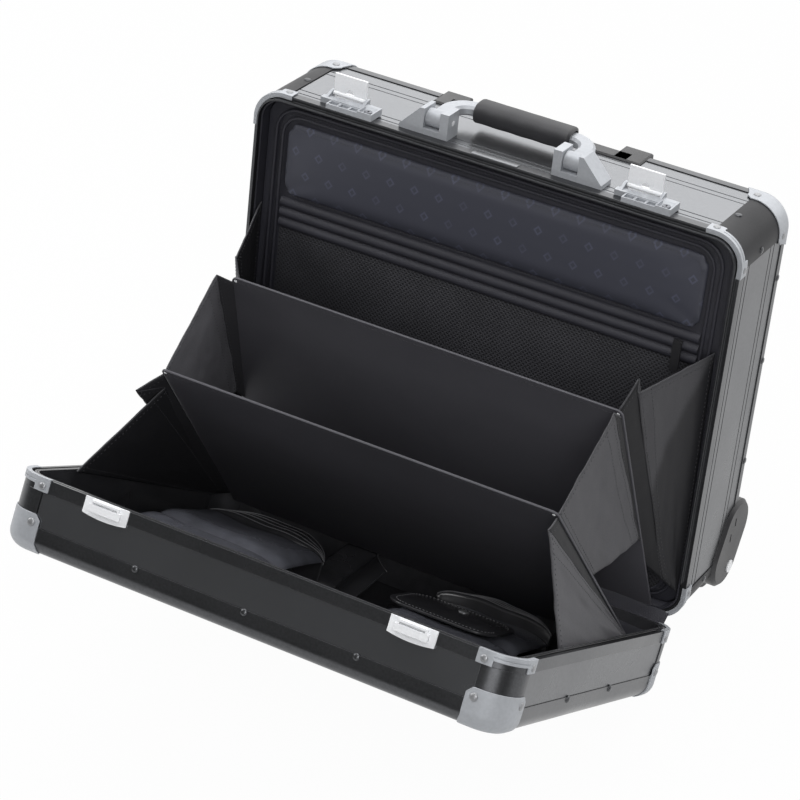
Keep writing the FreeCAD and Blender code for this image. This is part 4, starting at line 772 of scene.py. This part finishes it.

# %% [markdown]
# The upper corners of the sheets are given in the upright, open case, left and right apart, because soft
# cloth never hangs the same twice.

# %% Sew the gussets
TIPS = {
    1: {
        "wall": [(222, 5, 262)],
        "rear": [(192, -80, 249), (192, -80, 265)],
        "middle": [(186, -109, 241)],
        "front": [(188, -217, 183), (188, -217, 183)],
        "lid": [(219, -8.5, 248)],
    },
    -1: {
        "wall": [(-222, 5, 262)],
        "rear": [(-197, -76, 244), (-192, -86, 252)],
        "middle": [(-196, -109, 241)],
        "front": [(-190, -187, 168), (-205, -217, 169)],
        "lid": [(-221, -3, 292)],
    },
}
for sx, side in zip(SIDES, ("left", "right")):
    tip = {key: [Vector(point) for point in points] for key, points in TIPS[sx].items()}
    shell = [Vector((sx * 225, 6, 24)), tip["wall"][0]]
    rear = board_seam(sx, "divider_rear", 3.9, 60, 5.0)
    rear_root = (shell[0] + rear[0]) / 2
    rear_lines = [shell, [rear_root, tip["rear"][0]], [rear_root, tip["rear"][1]], rear]
    middle = board_seam(sx, "divider_front", -29.6, 168)
    middle_end = board_seam(sx, "divider_rear", 1.2, 95)
    middle_fold = [Vector((sx * 200, -48, 98)), tip["middle"][0]]
    middle_lines = [middle, middle_fold, middle_fold, middle_end]
    lid_wall = [in_case("lid", (sx * 222, -31, 24)), in_case("lid", tip["lid"][0])]
    front = board_seam(sx, "divider_front", -32.4, 30)
    front_root = (lid_wall[0] + front[0]) / 2
    front_lines = [lid_wall, [front_root, tip["front"][0]], [front_root, tip["front"][1]], front]
    made = (
        ("rear_gusset_" + side, "rear_gussets", rear_lines, ("main", "divider_rear"), shell[1], rear[1]),
        ("middle_gusset_" + side, "middle_gussets", middle_lines, ("main", "lid"),
         Vector((0, 182, 373)), Vector((0, -521, 41))),
        ("front_gusset_" + side, "front_gussets", front_lines, ("divider_front", "lid"),
         front[1], lid_wall[1]),
    )
    for (name, node, lines, bodies, start, end), black in zip(made, PAINTED_SHADES[sx]):
        cloth, sewing, area, length, width = gusset_sheet(name, sx, lines, black)
        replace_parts(cloth, node)
        for obj in (cloth, sewing):
            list(bodies)
            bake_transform(obj)
        min(area, width * length)
print("sewed six gussets")

# %% [markdown]
# A strip of lining cloth lies over the hinge inside the case, so that nothing falls through between the
# shells.  It is sewn to both shells, so we lay it along a path of five points, two on the rear shell and
# three on the lid.

# %% Hinge cover
STRIP_HALF = 222.0
cover_path = [Vector((0, 10, 9)), Vector((0, 3, 7))]
cover_path += [in_case("lid", point) for point in ((0, -3, 7), (0, -12, 9), (0, -30, 9.2))]


def hinge_cover(u, v):
    i = min(int(v * 4), 3)
    point = cover_path[i].lerp(cover_path[i + 1], v * 4 - i)
    ripple = 0.6 * noise.noise(Vector((14 * u, 3 * v, 0)))
    return Vector((-STRIP_HALF + 2 * STRIP_HALF * u, point.y, point.z + ripple))


strip = new_piece("hinge_cover", sheet_grid(90, 16, hinge_cover), "main", "lining")
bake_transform(strip)
length = sum((b - a).length for a, b in zip(cover_path, cover_path[1:])) * MM
width = 2 * STRIP_HALF * MM
print("covered the hinge")

# %% [markdown]
# ## The organiser in the lid
#
# The floor of the lid carries a thin pad of glossy black sheet.  Pockets are sewn on it, and they stand
# up while the case is open.  The front divider needs their room when the lid shuts.

# %% Pad in the lid
FLOOR = -52.3
shape = block((-200, FLOOR - 3.5, 22), (200, FLOOR, 345), 18, 1.6)
base = new_piece("organiser_pad", shape, "lid", "organiser")
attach(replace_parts(base, "lid_organiser"), "lid")


def flatten(obj):
    """Attach a soft piece on the lid's floor to the lid and give it a mesh of its own."""
    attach(obj, "lid")
    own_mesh(obj)
    return obj


print("laid the pad")

# %% [markdown]
# Each pocket is a stack of leaves: the cover in front rises to a mouth, and the leaves behind it bow away
# towards the hinge, each with a pale cord along its edge.  A box with a slit would hold as much, but the
# soft rise, the crease and the bowed edges are what the eye looks for, so a rule over width and length
# draws each sheet.

# %% Pockets
THREAD = finish("sewing thread", (0.16, 0.16, 0.17), 0.6, 0.0, 900, 0.2, 0.3)
LEAF_THICK = 0.0008
ON_PAD = FLOOR + 0.4
# The pocket covers are painted a lighter blue-grey than the glossy sheet of the leaves: a painted reflection of
# the lamps above, which the covers face.
COVER_PAINTED_REFLECTION = finish("sheet with painted reflection", (0.095, 0.098, 0.115), 0.20, 0.0, 60, 0.15, 0.02, 0.3)


def pocket(name, x0, x1, mouth, slack, foot, bows, high, taller):
    """Layered pocket: a creased cover that rises to its mouth, and curved leaves with corded edges."""
    def cover(u, v):
        s = 2 * u - 1
        x = (x0 + x1) / 2 + s * (x1 - x0) / 2 * (1 + 0.06 * v)
        z = mouth[0] + (mouth[1] - mouth[0]) * u + (foot - mouth[0]) * v
        z += slack * math.sin(math.pi * u) * (1 - v)
        rise = (1 - v ** 6) * (1 - 0.30 * abs(s) ** 8)
        fold = 1.6 * math.sin(9 * v + 1.5 * s) * math.sin(math.pi * v)
        crease = -9.0 * math.exp(-((v - 0.36 - 0.05 * s * s) / 0.04) ** 2) * (1 - 0.4 * s)
        dent = 2.0 * noise.noise(Vector((1.6 * s, 2.4 * v, high)))
        return Vector((x, ON_PAD + (high + fold + dent + crease) * rise, z))

    def leaf(bow, lift, u, v):
        top = cover(u, 0.0)
        lean = math.sin(math.pi * u ** 0.85) ** 0.8
        height = top.y - FLOOR - 0.4 + lift
        return Vector((top.x, ON_PAD + height * v, top.z - bow * lean * (0.8 + 0.2 * v)))

    sheets = [sheet_grid(44, 64, cover)]
    for i, b in enumerate(bows):
        sheets.append(sheet_grid(44, 8, lambda u, v, b=b, i=i: leaf(b, taller - 0.8 * i, u, v)))
    for number, bm in enumerate(sheets):
        obj = new_piece(name + ("_cover" if number == 0 else "_leaf%d" % number), bm, "lid", "organiser",
                        COVER_PAINTED_REFLECTION if number == 0 else None)
        thicken(obj, LEAF_THICK)
        flatten(obj)
    bm = bmesh.new()
    for i, b in enumerate(bows):
        tube(bm, [leaf(b, taller + 0.4 - 0.8 * i, n / 48, 1.0) for n in range(49)], 0.4)
    tube(bm, [cover(n / 48, 0.0) + Vector((0, 0.4, 0)) for n in range(49)], 0.35)
    cords = flatten(new_piece(name + "_cords", bm, "lid", "organiser", THREAD))


pocket("organiser_left", -180, -46, mouth=(128, 140), slack=20, foot=340, bows=(30, 50, 66, 82),
       high=30, taller=0)
pocket("organiser_right", 48, 156, mouth=(100, 92), slack=0, foot=300, bows=(12, 22, 32, 42),
       high=20, taller=10)
print("sewed two pockets")

# %% [markdown]
# Between the pockets stands a low leaf with a notched edge, and a round-ended flap closes with a snap.
# The leaf is a sheet like those of the pockets; the flap is stiffer, so it is a thin rounded block.


def centre_leaf(u, v):
    """Low middle leaf with a notched upper edge, between the two pockets."""
    edge = 58 + 60 * max(0.0, (u - 0.45) / 0.55) ** 0.8 + 12 * max(0.0, 0.25 - u)
    return Vector((-62 + 66 * u, FLOOR + 0.5 + 29 * (1 - v) ** 0.7 * (1 - 0.4 * u * v), edge + 70 * v))


leaf = flatten(new_piece("organiser_centre", sheet_grid(30, 20, centre_leaf), "lid", "organiser"))
thicken(leaf, LEAF_THICK)
bm = bmesh.new()
tube(bm, [centre_leaf(n / 40, 0) + Vector((0, 0.4, 0)) for n in range(41)], 0.4)
cord = flatten(new_piece("organiser_centre_cord", bm, "lid", "organiser", THREAD))
area = sum(p.area for p in leaf.data.polygons)
FLAP = FLOOR + 25.0
shape = block((38, FLAP - 2.5, 122), (140, FLAP, 196), 22, 0.8)
flatten(new_piece("organiser_flap", shape, "lid", "organiser"))
bm = bmesh.new()
stitches(bm, round_rectangle(43, 135, 127, 191, 18, FLAP + 0.1), PITCH, 2.2, 0.7)
flatten(new_piece("organiser_flap_stitches", bm, "lid", "organiser", THREAD))
snap = [((91, FLAP + 0.1, 139), (0, 1, 0))]
flatten(domes("organiser_snap", snap, 5.0, 1.4, "lid", "bright_metal", STEEL))
print("closed the organiser")

# %% [markdown]
# ## Carry grip
#
# The grip is soft rubber moulded over the cast arch, with four shallow waves for the fingers.  Its
# section is a rounded square that draws in at both ends; one rule round and along the arch gives all of
# that in one sheet.

# %% Carry grip
PIVOT = Vector((0, 20, HEIGHT + 14))
REACH, GRIP_LEAN, GRIP_HALF = 38.0, math.radians(88), 46.0
GRIP_THICK, GRIP_DEEP, SQUARE, WAVES = 9.5, 12.5, 0.75, 4


def sleeve(u, v):
    a = 2 * math.pi * v
    x = -GRIP_HALF + 2 * GRIP_HALF * u
    end = min(1.0, (1 - abs(2 * u - 1)) / 0.06)
    draw = 0.72 + 0.28 * math.sqrt(end * (2 - end))
    c, s = math.cos(a), math.sin(a)
    across = GRIP_THICK * math.copysign(abs(s) ** SQUARE, s)
    deep = GRIP_DEEP * math.copysign(abs(c) ** SQUARE, c)
    deep -= 0.4 * math.cos(2 * math.pi * WAVES * u) * (0.5 - 0.5 * c)
    local = Vector((x, across * draw, REACH + deep * draw))
    return PIVOT + Matrix.Rotation(-GRIP_LEAN, 3, "X") @ local


bm = sheet_grid(72, 48, sleeve)
bmesh.ops.remove_doubles(bm, verts=bm.verts, dist=0.01)
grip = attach(new_piece("carry_grip_rubber", bm, "carry_handle", "grip_rubber"), "carry_handle")
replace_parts(grip, "carry_grip")
print("moulded the grip")

# %% [markdown]
# A small bare plate of satin metal sits on the rim in front of the carry handle.  It is punched from
# sheet and pressed on, so a thin block with rounded corners is enough.

# %% Bare plate
PLATE = finish("satin plate", (0.22, 0.225, 0.235), 0.3, 0.9, 500, 0.1, 0.04, 0.2)
shape = block((-22, 1.5, EDGE_SKIN - 0.2), (22, 8.5, EDGE_SKIN + 1.0), 1.5, 0.4, "z")
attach(new_piece("rim_plate", shape, "main", "silver_fitting", PLATE), "main")
print("fixed the bare plate")

# %% [markdown]
# ## Studio
#
# The picture is taken from the upper right with a long lens.  The camera was fitted to the corners and
# edges of the case, so its place and its three directions are given in the frame of the upright case.

# %% Camera
CAMERA_PLACE = Vector((963.75, -2103.76, 1391.90))
data = bpy.data.cameras.new("camera")
data.sensor_width = 36.0
data.lens = 134.52
camera = bpy.data.objects.new("camera", data)
bpy.context.scene.collection.objects.link(camera)
turn = PLACE["main"].to_3x3() * 1000
right = turn @ Vector((0.86943, 0.48386, 0.09983))
down = turn @ Vector((0.31010, -0.37715, -0.87269))
ahead = turn @ Vector((-0.38461, 0.78971, -0.47795))
axes = Matrix((right.normalized(), -down.normalized(), -ahead.normalized())).transposed().to_4x4()
camera.matrix_world = Matrix.Translation(PLACE["main"] @ CAMERA_PLACE) @ axes
bpy.context.scene.camera = camera
print("the camera stands", round((camera.location - HINGE).length, 2), "m away")

# %% [markdown]
# The sky is white for the camera, but what the case mirrors is a studio: a bright back wall, a soft
# ceiling and a darker side behind the camera.  With a white sky all round, black sheet would have nothing
# dark to mirror.  The floor is white paper for the eye and in mirrors, and a softer grey where it only
# throws light back.

# %% Sky and floor
world = bpy.data.worlds.new("studio")
bpy.context.scene.world = world
world.use_nodes = True
tree = world.node_tree
tree.nodes.clear()
output = tree.nodes.new("ShaderNodeOutputWorld")
path = tree.nodes.new("ShaderNodeLightPath")
place = tree.nodes.new("ShaderNodeTexCoord")
split = tree.nodes.new("ShaderNodeSeparateXYZ")
link(tree, place.outputs["Generated"], split.inputs["Vector"])
high = stretch(tree, split.outputs["Z"], 0.0, 0.25, 0.0, 0.9)
far = stretch(tree, split.outputs["Y"], 0.0, 2.7, 0.1, 0.9)
level = calculate(tree, "ADD", calculate(tree, "ADD", high, far), 0.05)
studio = tree.nodes.new("ShaderNodeBackground")
link(tree, level, studio.inputs["Strength"])
white = tree.nodes.new("ShaderNodeBackground")
white.inputs["Color"].default_value = (1, 1, 1, 1)
white.inputs["Strength"].default_value = 1.0
mix = tree.nodes.new("ShaderNodeMixShader")
link(tree, path.outputs["Is Camera Ray"], mix.inputs["Fac"])
link(tree, studio.outputs["Background"], mix.inputs[1])
link(tree, white.outputs["Background"], mix.inputs[2])
link(tree, mix.outputs["Shader"], output.inputs["Surface"])

bm = bmesh.new()
bmesh.ops.create_grid(bm, x_segments=1, y_segments=1, size=4.0)
mesh = bpy.data.meshes.new("floor")
bm.to_mesh(mesh)
bm.free()
floor = bpy.data.objects.new("floor", mesh)
bpy.context.scene.collection.objects.link(floor)
paper, tree, shader = start_material("white paper", (0.60, 0.60, 0.60), 0.8, 0.0, {})
glow = tree.nodes.new("ShaderNodeEmission")
glow.inputs["Strength"].default_value = 1.0
path = tree.nodes.new("ShaderNodeLightPath")
mix = tree.nodes.new("ShaderNodeMixShader")
seen = calculate(tree, "MAXIMUM", path.outputs["Is Camera Ray"], path.outputs["Is Glossy Ray"])
seen = calculate(tree, "MAXIMUM", seen, path.outputs["Is Transmission Ray"])
fade = calculate(tree, "MULTIPLY", seen, 0.97)
link(tree, fade, mix.inputs["Fac"])
link(tree, shader.outputs["BSDF"], mix.inputs[1])
link(tree, glow.outputs["Emission"], mix.inputs[2])
link(tree, mix.outputs["Shader"], tree.nodes["Material Output"].inputs["Surface"])
fine = noise_value(tree, case_coordinates(tree), 300)
relief(tree, shader, fine, 0.02, 0.0005)
mesh.materials.append(paper)
print("set the sky and the floor")

# %% [markdown]
# Four broad lamps light the case: one above, one from the left, one from the right, and a weaker one from
# the front that opens the shadows between the dividers.  Small lamps would draw hard shadows on the
# paper.

# %% Lamps
def lamp(name, place, target, size, power):
    light = bpy.data.lights.new(name, "AREA")
    light.shape = "RECTANGLE"
    light.size, light.size_y = size
    light.energy = power
    obj = bpy.data.objects.new(name, light)
    bpy.context.scene.collection.objects.link(obj)
    place, target = Vector(place), Vector(target)
    obj.location = place
    obj.rotation_mode = "QUATERNION"
    obj.rotation_quaternion = (target - place).to_track_quat("-Z", "Y")
    return obj


lamp("ceiling", (-0.2, 0.5, 2.1), (0, 0.1, 0.2), (2.0, 1.6), 22)
lamp("left_fill", (-2.0, -0.35, 1.5), (0, 0, 0.2), (1.2, 1.2), 20)
lamp("right_key", (1.3, -1.3, 2.2), (0, 0, 0.2), (1.2, 1.2), 22)
lamp("front_fill", (0.9, -2.2, 1.5), (0, 0, 0.2), (1.5, 1.2), 12)
print("hung the lamps")

# %% [markdown]
# The colours are shown as they are, without a film look, so that white paper stays white.

# %% Picture settings
bpy.context.scene.view_settings.view_transform = "Standard"
print("the picture is shown plainly")
